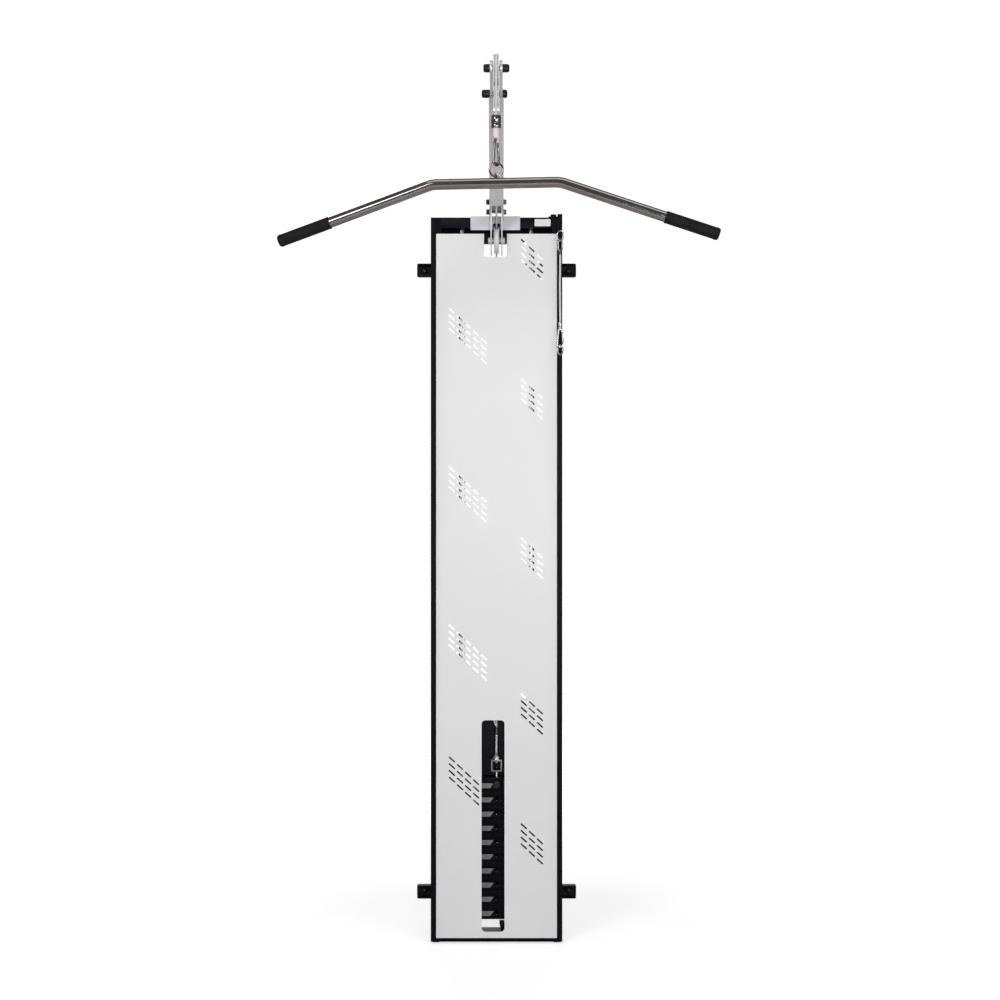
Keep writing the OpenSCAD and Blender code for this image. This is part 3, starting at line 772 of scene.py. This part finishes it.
def make_number(word, node, body):
    """A raised generic number on a plate's label."""
    curve = bpy.data.curves.new("number_" + word, "FONT")
    curve.body = word
    curve.size = 10 * MM
    curve.extrude = 0.06 * MM
    curve.align_x = "CENTER"
    curve.align_y = "CENTER"
    text = bpy.data.objects.new("number_" + word, curve)
    scene.collection.objects.link(text)
    text.rotation_euler = (math.radians(90), 0, 0)
    text.location = (-28 * MM, low("weight_labels").y - 0.05 * MM, middle(node).z - LABEL_DROP)
    bpy.context.view_layer.update()
    mesh = bpy.data.meshes.new_from_object(text.evaluated_get(bpy.context.evaluated_depsgraph_get()))
    mesh.transform(text.matrix_world)
    bpy.data.objects.remove(text)
    mesh.materials.clear()
    mesh.materials.append(INK)
    piece = bpy.data.objects.new("plate_number_" + word, mesh)
    scene.collection.objects.link(piece)
    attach(piece, body)


def make_selector_pin():
    """Pin with a tapered end, and its ribbed knob."""
    lo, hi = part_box("selector_pin")
    at = Vector((0, hi.y, middle("selector_pin").z))
    bm = bmesh.new()
    r = (hi.x - lo.x) / 2
    lathe(bm, [(0, 0), (r * 0.5, 0.3 * MM), (r, 3 * MM), (r, hi.y - lo.y), (0, hi.y - lo.y)], at, -Y, 32)
    finished("pin_shaft", bm, CHROME, "selector_pin", ["selector_pin"])
    lo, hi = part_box("pin_knob")
    r = (hi.x - lo.x) / 2
    bm = bmesh.new()
    lathe(bm, [
        (0, 0), (r - 1.5 * MM, 0), (r, 1.2 * MM), (r, 3 * MM), (r - 0.8 * MM, 3.6 * MM),
        (r - 0.8 * MM, 4.4 * MM), (r, 5 * MM), (r - 0.6 * MM, 6.3 * MM), (r - 2 * MM, 7 * MM),
        (r - 5 * MM, 6.6 * MM), (0, 6.5 * MM),
    ], Vector((0, hi.y, middle("pin_knob").z)), -Y, 40)
    finished("pin_grip", bm, PLASTIC, "selector_pin", ["pin_knob"])


def thread(radius, start, end, pitch=1.5 * MM, depth=0.7 * MM):
    """Profile of a screw's crests and roots."""
    turns = int((end - start) / pitch)
    points = []
    for i in range(turns):
        z = start + i * pitch
        points += [(radius - depth, z), (radius, z + pitch * 0.4), (radius, z + pitch * 0.6)]
    points.append((radius - depth, start + turns * pitch))
    return points


HITCH_AT = Vector((0, LINE_Y, 0))
YOKE_TOP = high("stack_yoke").z


def make_yoke_nut():
    """Lock nut on the stem's threaded end, inside the yoke."""
    foot = low("yoke_nut").z
    bm = bmesh.new()
    hexagon(bm, HITCH_AT + Z * foot, Z, 13 * MM, 7 * MM)
    lathe(bm, round_profile(4 * MM, 12 * MM, 1 * MM), HITCH_AT + Z * (foot - 1 * MM), Z, 24)
    finished("yoke_lock_nut", bm, PLATE, CARRIAGE, ["yoke_nut"])


def make_stud():
    """Threaded stud and nut above the yoke."""
    bm = bmesh.new()
    top = low("cable_crimp").z
    start = low("cable_stud").z
    profile = [(0, start), (STUD_R - 0.7 * MM, start)]
    profile += thread(STUD_R, start + 1 * MM, top - 2 * MM)
    profile += [(STUD_R - 0.7 * MM, top - 1 * MM), (STUD_R - 1 * MM, top), (0, top)]
    lathe(bm, profile, HITCH_AT, Z, 32)
    hexagon(bm, HITCH_AT + Z * YOKE_TOP, Z, 17 * MM, STUD_NUT_H)
    finished("stud_thread", bm, BRIGHT, CARRIAGE, ["cable_stud"])


def make_stud_washer():
    """Dished washer on the nut and the dome that holds it down."""
    at = HITCH_AT + Z * (YOKE_TOP + STUD_NUT_H)
    bm = bmesh.new()
    closed_lathe(bm, [
        (6.2 * MM, 0.2 * MM), (15 * MM, 0.2 * MM), (18.3 * MM, 0), (18.5 * MM, 1 * MM),
        (18.3 * MM, 2 * MM), (13 * MM, 2.4 * MM), (6.2 * MM, 2.4 * MM),
    ], at, Z, 48)
    finished("stud_washer", bm, BRIGHT, CARRIAGE)
    bm = bmesh.new()
    closed_lathe(bm, [
        (6.2 * MM, 2.4 * MM), (13 * MM, 2.4 * MM), (12.8 * MM, 4 * MM), (11.6 * MM, 8 * MM),
        (9 * MM, 11.5 * MM), (7.4 * MM, 13.2 * MM), (6.2 * MM, 13.4 * MM),
    ], at, Z, 48)
    finished("stud_dome", bm, ZINC, CARRIAGE)


def make_crimp():
    """Sleeve pressed on in two places and the short tail of cable beside it."""
    lo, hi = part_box("cable_crimp")
    h = hi.z - lo.z
    bm = bmesh.new()
    lathe(bm, [
        (0, 0), (4.4 * MM, 0), (5 * MM, 0.8 * MM), (5 * MM, h * 0.28), (3.9 * MM, h * 0.33),
        (3.9 * MM, h * 0.42), (5 * MM, h * 0.47), (5 * MM, h * 0.62), (3.9 * MM, h * 0.67),
        (3.9 * MM, h * 0.76), (5 * MM, h * 0.81), (5 * MM, h - 0.8 * MM), (4.4 * MM, h), (0, h),
    ], HITCH_AT + Z * lo.z, Z, 32)
    finished("crimp_sleeve", bm, ZINC, CARRIAGE, ["cable_crimp"])
    start = HITCH_AT + Z * (hi.z - 2 * MM) - X * 1.5 * MM
    lean, curl, rise = 1.3 * MM, 0.12 * MM, 5 * MM
    tail = [start + Vector((-k * lean - k * k * curl, 0, k * rise)) for k in range(7)]
    bm = bmesh.new()
    sweep(bm, tail, 2.2 * MM, 12)
    finished("cable_tail", bm, CABLE, CARRIAGE)


# ---------- cable ----------

def straight_run(name, node, y, steps):
    """A straight run of cable in place of a frame node, fixed in the world on no body."""
    lo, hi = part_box(node)
    top, bottom = Vector((0, y, hi.z)), Vector((0, y, lo.z))
    bm = bmesh.new()
    sweep(bm, line(top, bottom, steps), CABLE_R, 14)
    run = finished(name, bm, CABLE, None, [node])
    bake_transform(run)


def make_cables():
    """The run from the stack, the drop to the cable end and the cable over the arm."""
    straight_run("cable_run", "stack_cable", LINE_Y, 60)
    straight_run("cable_drop_run", "drop_cable", DROP_Y, 30)
    slope = math.degrees(math.atan2(TIP_AXLE.z - BASE_AXLE.z, BASE_AXLE.y - TIP_AXLE.y))
    base = Vector((0, BASE_AXLE.y, BASE_AXLE.z))
    tip = Vector((0, TIP_AXLE.y, TIP_AXLE.z))
    first = arc(base, Y, Z, WRAP_R, 0, 90 - slope, 12)
    last = arc(tip, Y, Z, WRAP_R, 90 - slope, 180, 28)
    bm = bmesh.new()
    sweep(bm, joined(first, line(first[-1], last[0], 40), last), CABLE_R, 14)
    finished("cable_over_arm", bm, CABLE, TOWER, ["arm_cable"])


# ---------- saddle and arm ----------

def make_saddle():
    """Saddle, cheeks, tube and fork, and the bolts that clamp the saddle."""
    softened("saddle_plate", 0.9 * MM, PALE, 3)
    softened("saddle_clamp", 1.5 * MM, POWDER, 3)
    softened("arm_cheeks", 0.5 * MM, STEEL)
    softened("arm_tube", 0.8 * MM, STEEL, 2)
    softened("tip_fork", 0.6 * MM, STEEL)
    bm = bmesh.new()
    lo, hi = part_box("saddle_bolts")
    inset = 7.5 * MM
    for x in (lo.x + inset, hi.x - inset):
        at = Vector((x, middle("saddle_bolts").y, 0))
        shank = round_profile(4 * MM, hi.z - lo.z - 4 * MM, 0.6 * MM)
        lathe(bm, shank, at + Z * lo.z, Z, 24)
        hexagon(bm, at + Z * (hi.z - 5.5 * MM), Z, 13 * MM, 5.5 * MM)
        hexagon(bm, at + Z * (lo.z + 8 * MM), -Z, 13 * MM, 6.5 * MM)
    finished("saddle_bolt_set", bm, ZINC, TOWER, ["saddle_bolts"])


ARM_SLOPE = math.radians(35)
ALONG_ARM = Vector((0, -math.cos(ARM_SLOPE), math.sin(ARM_SLOPE)))
ARM_HALF = high("arm_tube").x
ARM_BOLTS_MIDDLE = Vector((0, middle("arm_bolts").y, middle("arm_bolts").z))
ARM_BOLT_GAP = 40 * MM


def make_arm_bolts():
    """Two bolts through the cheeks and the tube: dark heads on one side, nuts on the other."""
    dark, light = bmesh.new(), bmesh.new()
    for side in (-1, 1):
        at = ARM_BOLTS_MIDDLE + ALONG_ARM * ARM_BOLT_GAP / 2 * side
        disc(dark, 8.5 * MM, 1 * MM, at - X * ARM_HALF, -X)
        hexagon(dark, at - X * (ARM_HALF + 1 * MM), -X, 13 * MM, 8.5 * MM, 1 * MM)
        disc(light, 8 * MM, 1.2 * MM, at + X * ARM_HALF, X)
        hexagon(light, at + X * (ARM_HALF + 1.2 * MM), X, 13 * MM, 6.8 * MM, 0.8 * MM)
        end = round_profile(4 * MM, 2 * ARM_HALF + 9 * MM, 0.7 * MM)
        lathe(light, end, at - X * (ARM_HALF + 0.5 * MM), X, 24)
    finished("arm_bolt_heads", dark, PLASTIC, TOWER, ["arm_bolts"])
    finished("arm_bolt_nuts", light, ZINC, TOWER)


def make_pulley(name, axle):
    """Nylon wheel with webbed sides and a groove for the cable, on a steel bearing."""
    centre = Vector((0, axle.y, axle.z))
    lo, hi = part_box(name)
    outer = (hi.z - lo.z) / 2
    half = (hi.x - lo.x) / 2
    bore = 5.05 * MM
    bed = WRAP_R - CABLE_R - 0.25 * MM
    side = [
        (13.5 * MM, half - 0.4 * MM), (14.5 * MM, half - 3.2 * MM), (25 * MM, half - 3.4 * MM),
        (26.5 * MM, half - 0.5 * MM), (27.5 * MM, half), (outer - 1.0 * MM, half),
        (outer, half - 0.5 * MM), (outer, half - 1.2 * MM), (WRAP_R, 3.4 * MM),
        (bed + 1.0 * MM, 3.2 * MM), (bed, 1.8 * MM),
    ]
    profile = side + [(r, -x) for r, x in reversed(side)]
    bm = bmesh.new()
    closed_lathe(bm, profile, centre, X, 72)
    finished(name + "_wheel", bm, PULLEY, name, [name])
    bm = bmesh.new()
    ring = [
        (bore, half - 0.3 * MM), (7.2 * MM, half - 0.3 * MM), (7.6 * MM, half - 0.9 * MM),
        (12.2 * MM, half - 0.9 * MM), (12.6 * MM, half - 0.3 * MM), (13.4 * MM, half - 0.3 * MM),
    ]
    closed_lathe(bm, ring + [(r, -x) for r, x in reversed(ring)], centre, X, 48)
    finished(name + "_bearing", bm, CHROME, name)


FORK_FACE = 16.8 * MM
CAP_R = 11 * MM
CAP_DOME = 7 * MM
AXLE_CAPS = [
    (TIP_AXLE, -1, 17 * MM), (TIP_AXLE, 1, 18 * MM),
    (GUIDE_AXLE, -1, 22 * MM), (GUIDE_AXLE, 1, 13 * MM),
]


def cap_profile(length):
    """Profile of a round cap with a domed outer end."""
    start = length - CAP_DOME
    profile = [(0, 0), (CAP_R - 0.8 * MM, 0), (CAP_R, 0.8 * MM), (CAP_R, start)]
    for k in range(1, 9):
        a = math.radians(90 * k / 9)
        profile.append((CAP_R - 4.6 * MM * (1 - math.cos(a)), start + CAP_DOME * math.sin(a)))
    return profile + [(CAP_R - 6 * MM, length), (0, length)]


def make_axles():
    """The axles, the caps on the two at the tip and the nuts on the base one."""
    softened("pulley_axles", 0.4 * MM, STEEL)
    bm = bmesh.new()
    for axle, side, length in AXLE_CAPS:
        lathe(bm, cap_profile(length), Vector((side * FORK_FACE, axle.y, axle.z)), X * side, 40)
    finished("axle_cap_set", bm, PLASTIC, TOWER, ["axle_caps"])
    bm = bmesh.new()
    for side in (-1, 1):
        at = Vector((side * high("arm_cheeks").x, BASE_AXLE.y, BASE_AXLE.z))
        disc(bm, 8.5 * MM, 1 * MM, at, X * side)
        hexagon(bm, at + X * side * 1 * MM, X * side, 15 * MM, 6 * MM)
    finished("base_axle_nuts", bm, PALE, TOWER)


# ---------- cable end and lat bar ----------

HOOK_TURN = math.radians(50)
HOOK_SIDE = Vector((math.cos(HOOK_TURN), math.sin(HOOK_TURN), 0))
HOOK_LOW_R, HOOK_HIGH_R, HOOK_RISE = 11 * MM, 6 * MM, 49.5 * MM
HOOK_WIRE = 3.25 * MM
GATE_PIN_DOWN = 4.2 * MM


def make_cable_end():
    """Stop on the cable's end and the nylon sleeve under it."""
    lo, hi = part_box("cable_stop")
    h, r = hi.z - lo.z, (hi.x - lo.x) / 2
    at = Vector((0, DROP_Y, lo.z))
    bm = bmesh.new()
    lathe(bm, [
        (0, 0), (r - 2.5 * MM, 0), (r - 1 * MM, 0.6 * MM), (r, 2 * MM), (r, h * 0.30),
        (r - 0.8 * MM, h * 0.33), (r - 0.8 * MM, h * 0.38), (r, h * 0.41), (r, h - 3 * MM),
        (r - 1.2 * MM, h - 1.0 * MM), (r - 4 * MM, h - 0.2 * MM), (5 * MM, h), (0, h),
    ], at, Z, 56)
    finished("stop_body", bm, CHROME, "cable_end", ["cable_stop"])
    softened("hook_sleeve", 0.9 * MM, NYLON, 3)


def snap_wire(origin, side, low_r, high_r, rise):
    """Path of a snap's wire, and the foot and the head of the gate that closes it."""
    tilt = math.asin((low_r - high_r) / rise)
    lean = math.degrees(tilt)
    top = origin + Z * rise
    path = joined(
        arc(origin, side, Z, low_r, lean, -180 - lean, 26),
        arc(top, side, Z, high_r, 180 - lean, lean, 16),
    )
    out = side * math.cos(tilt) + Z * math.sin(tilt)
    return path, origin + low_r * out, top + high_r * out


def make_hook():
    """Spring hook under the sleeve and its gate with the pin that it turns on."""
    origin = Vector((0, DROP_Y, low("carabiner").z + HOOK_LOW_R + HOOK_WIRE))
    path, foot, head = snap_wire(origin, HOOK_SIDE, HOOK_LOW_R, HOOK_HIGH_R, HOOK_RISE)
    bm = bmesh.new()
    sweep(bm, path, HOOK_WIRE, 18)
    finished("hook_wire", bm, CHROME, "snap_hook", ["carabiner"])
    across = Vector((-HOOK_SIDE.y, HOOK_SIDE.x, 0))
    along = (head - foot).normalized()
    length = (head - foot).length
    bm = bmesh.new()
    lathe(bm, [
        (0, 0.6 * MM), (2.4 * MM, 0.6 * MM), (HOOK_WIRE, 1.6 * MM), (HOOK_WIRE, 7 * MM),
        (2.7 * MM, 8 * MM), (2.7 * MM, length - 9 * MM), (HOOK_WIRE, length - 8 * MM),
        (HOOK_WIRE, length - 2 * MM), (2.6 * MM, length - 1.2 * MM), (0, length - 1.2 * MM),
    ], foot, along, 24)
    pin_at = head - along * GATE_PIN_DOWN - across * 3.8 * MM
    lathe(bm, round_profile(1.1 * MM, 7.6 * MM, 0.3 * MM), pin_at, across, 16)
    finished("hook_gate_bar", bm, CHROME, "hook_gate", ["carabiner_gate"])


BAR_YAW = math.radians(-6)
BAR_SIDE = Vector((math.cos(BAR_YAW), math.sin(BAR_YAW), 0))


def make_ring():
    """Round ring that hangs in the hook, a little thicker where it is welded."""
    path = arc(RING_AT, BAR_SIDE, Z, RING_R, 0, 360, 72)[:-1]
    weld_at, weld_reach = 54, 2.5
    radii = []
    for i in range(len(path)):
        bead = max(0.0, 1 - abs(i - weld_at) / weld_reach)
        radii.append(RING_WIRE + 0.25 * MM * bead)
    bm = bmesh.new()
    sweep(bm, path, radii, 18, closed=True)
    finished("ring_wire", bm, CHROME, "ring", ["handle_ring"])


BAR_R = 14 * MM
BAR_DROP = 35.6 * MM
BAR_AT = Vector((0, DROP_Y, RING_AT.z - BAR_DROP))
BAR_FLAT = 168 * MM
BAR_RUN = 410 * MM
BAR_SLOPE = math.radians(19.25)
BAR_BEND_R = 80 * MM
GRIP_L = 146 * MM
GRIP_R = 16.5 * MM
LUG_R = 8 * MM
LUG_HOLE_R = 4 * MM
LUG_HALF = 3 * MM
LUG_FOOT = 12 * MM


def bar_end(side):
    """One side of the bar: outward, down the slope, the bend's tuck, its corner, the length."""
    outward = BAR_SIDE * side
    slope = outward * math.cos(BAR_SLOPE) - Z * math.sin(BAR_SLOPE)
    tuck = BAR_BEND_R * math.tan(BAR_SLOPE / 2)
    corner = BAR_AT + outward * BAR_FLAT
    return outward, slope, tuck, corner, BAR_RUN / math.cos(BAR_SLOPE)


def make_bar():
    """Lat bar: one tube with two bends, its lug and its grips."""
    halves = []
    for side in (-1, 1):
        outward, slope, tuck, corner, length = bar_end(side)
        centre = corner - outward * tuck - Z * BAR_BEND_R
        bend = arc(centre, outward, Z, BAR_BEND_R, 90, 90 - math.degrees(BAR_SLOPE), 14)
        end = corner + slope * (length - 4 * MM)
        halves.append(joined([BAR_AT], bend, line(bend[-1], end, 12)))
    path = joined(list(reversed(halves[0])), halves[1])
    bm = bmesh.new()
    sweep(bm, path, BAR_R, 40)
    finished("bar_tube", bm, CHROME, "bar", ["lat_bar"])
    make_lug()
    make_grips()


def make_lug():
    """Welded lug on top of the bar, drilled for the ring, with its weld bead."""
    spin = Matrix.Rotation(BAR_YAW, 4, "Z")
    place = Matrix.Translation((0, DROP_Y, 0)) @ spin
    hole_z = RING_AT.z - RING_R
    foot_z = BAR_AT.z + LUG_FOOT
    outline, hole = [(LUG_R + 0.5 * MM, foot_z)], []
    for k in range(25):
        a = math.radians(-20 + 220 * k / 24)
        outline.append((LUG_R * math.cos(a), hole_z + 1.2 * MM + LUG_R * math.sin(a)))
    outline.append((-LUG_R - 0.5 * MM, foot_z))
    for k in range(24):
        a = math.radians(15 * k)
        hole.append((LUG_HOLE_R * math.cos(a), hole_z + LUG_HOLE_R * math.sin(a)))
    bm = bmesh.new()
    faces = []
    for x in (-LUG_HALF, LUG_HALF):
        outer = [bm.verts.new(place @ Vector((x, y, z))) for y, z in outline]
        inner = [bm.verts.new(place @ Vector((x, y, z))) for y, z in hole]
        edges = [bm.edges.new((a, b)) for a, b in zip(outer, outer[1:] + outer[:1])]
        edges += [bm.edges.new((a, b)) for a, b in zip(inner, inner[1:] + inner[:1])]
        bmesh.ops.triangle_fill(bm, use_beauty=True, use_dissolve=True, edges=edges)
        faces.append((outer, inner))
    for a, b in zip(*faces):
        for i in range(len(a)):
            j = (i + 1) % len(a)
            bm.faces.new((a[i], a[j], b[j], b[i]))
    finished("bar_lug", bm, CHROME, "bar")
    make_lug_weld(place)


def make_lug_weld(place):
    """Rippled bead around the lug's foot, on the round of the bar."""
    steps = 36
    path, radii = [], []
    for k in range(steps):
        a = 2 * math.pi * k / steps
        x, y = 4.2 * MM * math.cos(a), 9.4 * MM * math.sin(a)
        path.append(place @ Vector((x, y, BAR_AT.z + math.sqrt(BAR_R ** 2 - y ** 2))))
        radii.append(1.5 * MM + 0.25 * MM * math.sin(k * 2.1))
    bm = bmesh.new()
    sweep(bm, path, radii, 10, closed=True)
    finished("lug_weld", bm, ZINC, "bar")


def grip_profile():
    """Profile of a grip: a rolled collar, shallow ribs and a rounded end."""
    r = GRIP_R
    valley, crest = r - 0.7 * MM, r - 0.25 * MM
    profile = [(BAR_R, 0), (15.6 * MM, 0), (r, 1 * MM), (r, 5 * MM), (valley, 6.5 * MM)]
    ribs = 26
    for k in range(ribs):
        z = 9 * MM + k * (GRIP_L - 26 * MM) / ribs
        profile += [(valley, z), (crest, z + 1.1 * MM), (crest, z + 3.3 * MM), (valley, z + 4.3 * MM)]
    profile += [(r - 0.3 * MM, GRIP_L - 13 * MM), (r, GRIP_L - 11 * MM)]
    dome = 8 * MM
    for k in range(9):
        a = math.radians(90 * k / 8)
        profile.append((r - 6.5 * MM * (1 - math.cos(a)), GRIP_L - dome + dome * math.sin(a)))
    return profile + [(3 * MM, GRIP_L), (0, GRIP_L)]


def make_grips():
    """Rubber sleeves on both ends of the bar."""
    for side, name in ((-1, "grip_left"), (1, "grip_right")):
        _, slope, _, corner, length = bar_end(side)
        bm = bmesh.new()
        lathe(bm, grip_profile(), corner + slope * (length - GRIP_L), slope, 48)
        replaced = ["bar_grips"] if side < 0 else []
        finished(name, bm, RUBBER, "bar", replaced)


# ---------- extension cable ----------

EXT_ROUTE = [
    (0.1830, -0.1040, 1.983), (0.1830, -0.1040, 1.974), (0.1829, -0.1041, 1.960),
    (0.1827, -0.1043, 1.945), (0.1825, -0.1046, 1.930), (0.1823, -0.1048, 1.915),
    (0.1822, -0.1050, 1.900), (0.1822, -0.1050, 1.885), (0.1822, -0.1050, 1.870),
    (0.1823, -0.1048, 1.855), (0.1825, -0.1046, 1.840), (0.1827, -0.1043, 1.825),
    (0.1829, -0.1041, 1.812), (0.1830, -0.1040, 1.800), (0.1830, -0.1040, 1.790),
]
EXT_BODY = "ext_line"
EXT_AT = Vector((EXT_ROUTE[0][0], EXT_ROUTE[0][1], 0))


def make_extension():
    """The coated wire with its link and snap, and the plate that it hangs from."""
    route = [Vector(p) for p in EXT_ROUTE]
    bm = bmesh.new()
    sweep(bm, route, CABLE_R, 16)
    wire = finished("ext_wire", bm, CABLE, EXT_BODY, ["ext_cable"])
    snap = make_snap()
    make_link()
    softened("hook_plate", 0.7 * MM, POWDER, 2)


def ferrule(bm, radius, start, end):
    """Crimped sleeve on the wire, between two heights."""
    h = end - start
    waist = radius - 0.8 * MM
    lathe(bm, [
        (0, 0), (waist, 0), (radius, 1 * MM), (radius, h * 0.3), (waist, h * 0.36), (waist, h * 0.5),
        (radius, h * 0.56), (radius, h - 1 * MM), (waist, h), (0, h),
    ], EXT_AT + Z * start, Z, 28)


def level(degrees):
    """The level direction at an angle from X."""
    return Vector((math.cos(math.radians(degrees)), math.sin(math.radians(degrees)), 0))


HANG_GAP = 0.3 * MM
LINK_R, LINK_WIRE = 9 * MM, 2.25 * MM
LINK_RISE, LINK_YAW = 9.5 * MM, -25
EYE_RISE, EYE_YAW = 15.4 * MM, 45
LINK_Z = high("ext_link").z - LINK_RISE - LINK_R - LINK_WIRE
EYE_Z = LINK_Z - 2 * LINK_R + 2 * LINK_WIRE + HANG_GAP - EYE_RISE


def long_link(bm, foot_z, rise, yaw):
    """Oval loop of the link's wire, turned about the vertical."""
    foot = EXT_AT + Z * foot_z
    lower = arc(foot, level(yaw), Z, LINK_R, 180, 360, 16)
    upper = arc(foot + Z * rise, level(yaw), Z, LINK_R, 0, 180, 16)
    sweep(bm, joined(lower, upper), LINK_WIRE, 14, closed=True)


def make_link():
    """Oval link on the peg and the wire's eye in it, with the eye's ferrule."""
    bm = bmesh.new()
    long_link(bm, LINK_Z, LINK_RISE, LINK_YAW)
    long_link(bm, EYE_Z, EYE_RISE, EYE_YAW)
    finished("ext_link_wire", bm, BRIGHT, EXT_BODY, ["ext_link"])
    bm = bmesh.new()
    ferrule(bm, 4.5 * MM, low("ext_link").z, EYE_Z - LINK_R + 2 * MM)
    finished("ext_top_ferrule", bm, ZINC, EXT_BODY)


SNAP_LOW_R, SNAP_HIGH_R, SNAP_RISE, SNAP_WIRE = 8.5 * MM, 5 * MM, 36.5 * MM, 2.5 * MM
SNAP_OVER_CUFF = 17.5 * MM
CUFF_R, CUFF_WIRE, CUFF_YAW = 13.75 * MM, 2 * MM, 56
CUFF_Z = low("ext_snap").z + CUFF_R + CUFF_WIRE


def make_snap():
    """Snap hook with its gate and ferrule, and the ring that hangs in it."""
    origin = EXT_AT + Z * (CUFF_Z + SNAP_OVER_CUFF)
    path, foot, head = snap_wire(origin, X, SNAP_LOW_R, SNAP_HIGH_R, SNAP_RISE)
    bm = bmesh.new()
    sweep(bm, path, SNAP_WIRE, 16)
    length = (head - foot).length
    lathe(bm, [
        (0, 0.5 * MM), (2 * MM, 0.5 * MM), (SNAP_WIRE, 1.2 * MM), (SNAP_WIRE, 6 * MM),
        (2 * MM, 7 * MM), (2 * MM, length - 7 * MM), (SNAP_WIRE, length - 6 * MM),
        (SNAP_WIRE, length - 0.5 * MM), (0, length - 0.4 * MM),
    ], foot, (head - foot).normalized(), 20)
    ferrule(bm, 5 * MM, origin.z + SNAP_RISE + SNAP_HIGH_R, high("ext_snap").z)
    ring = arc(EXT_AT + Z * CUFF_Z, level(CUFF_YAW), Z, CUFF_R, 0, 360, 60)[:-1]
    sweep(bm, ring, CUFF_WIRE, 14, closed=True)
    return finished("ext_snap_hook", bm, BRIGHT, EXT_BODY, ["ext_snap"])


# ---------- everything ----------

make_camera()
make_extension()
make_stage()
make_world()
make_lights()
make_frame()
make_rail_bolts()
make_cover()
make_blank_sticker()
make_stack()
make_selector_pin()
make_yoke_nut()
make_stud()
make_stud_washer()
make_crimp()
make_cables()
make_saddle()
make_arm_bolts()
make_pulley("base_pulley", BASE_AXLE)
make_pulley("guide_pulley", GUIDE_AXLE)
make_pulley("tip_pulley", TIP_AXLE)
make_axles()
make_cable_end()
make_hook()
make_ring()
make_bar()
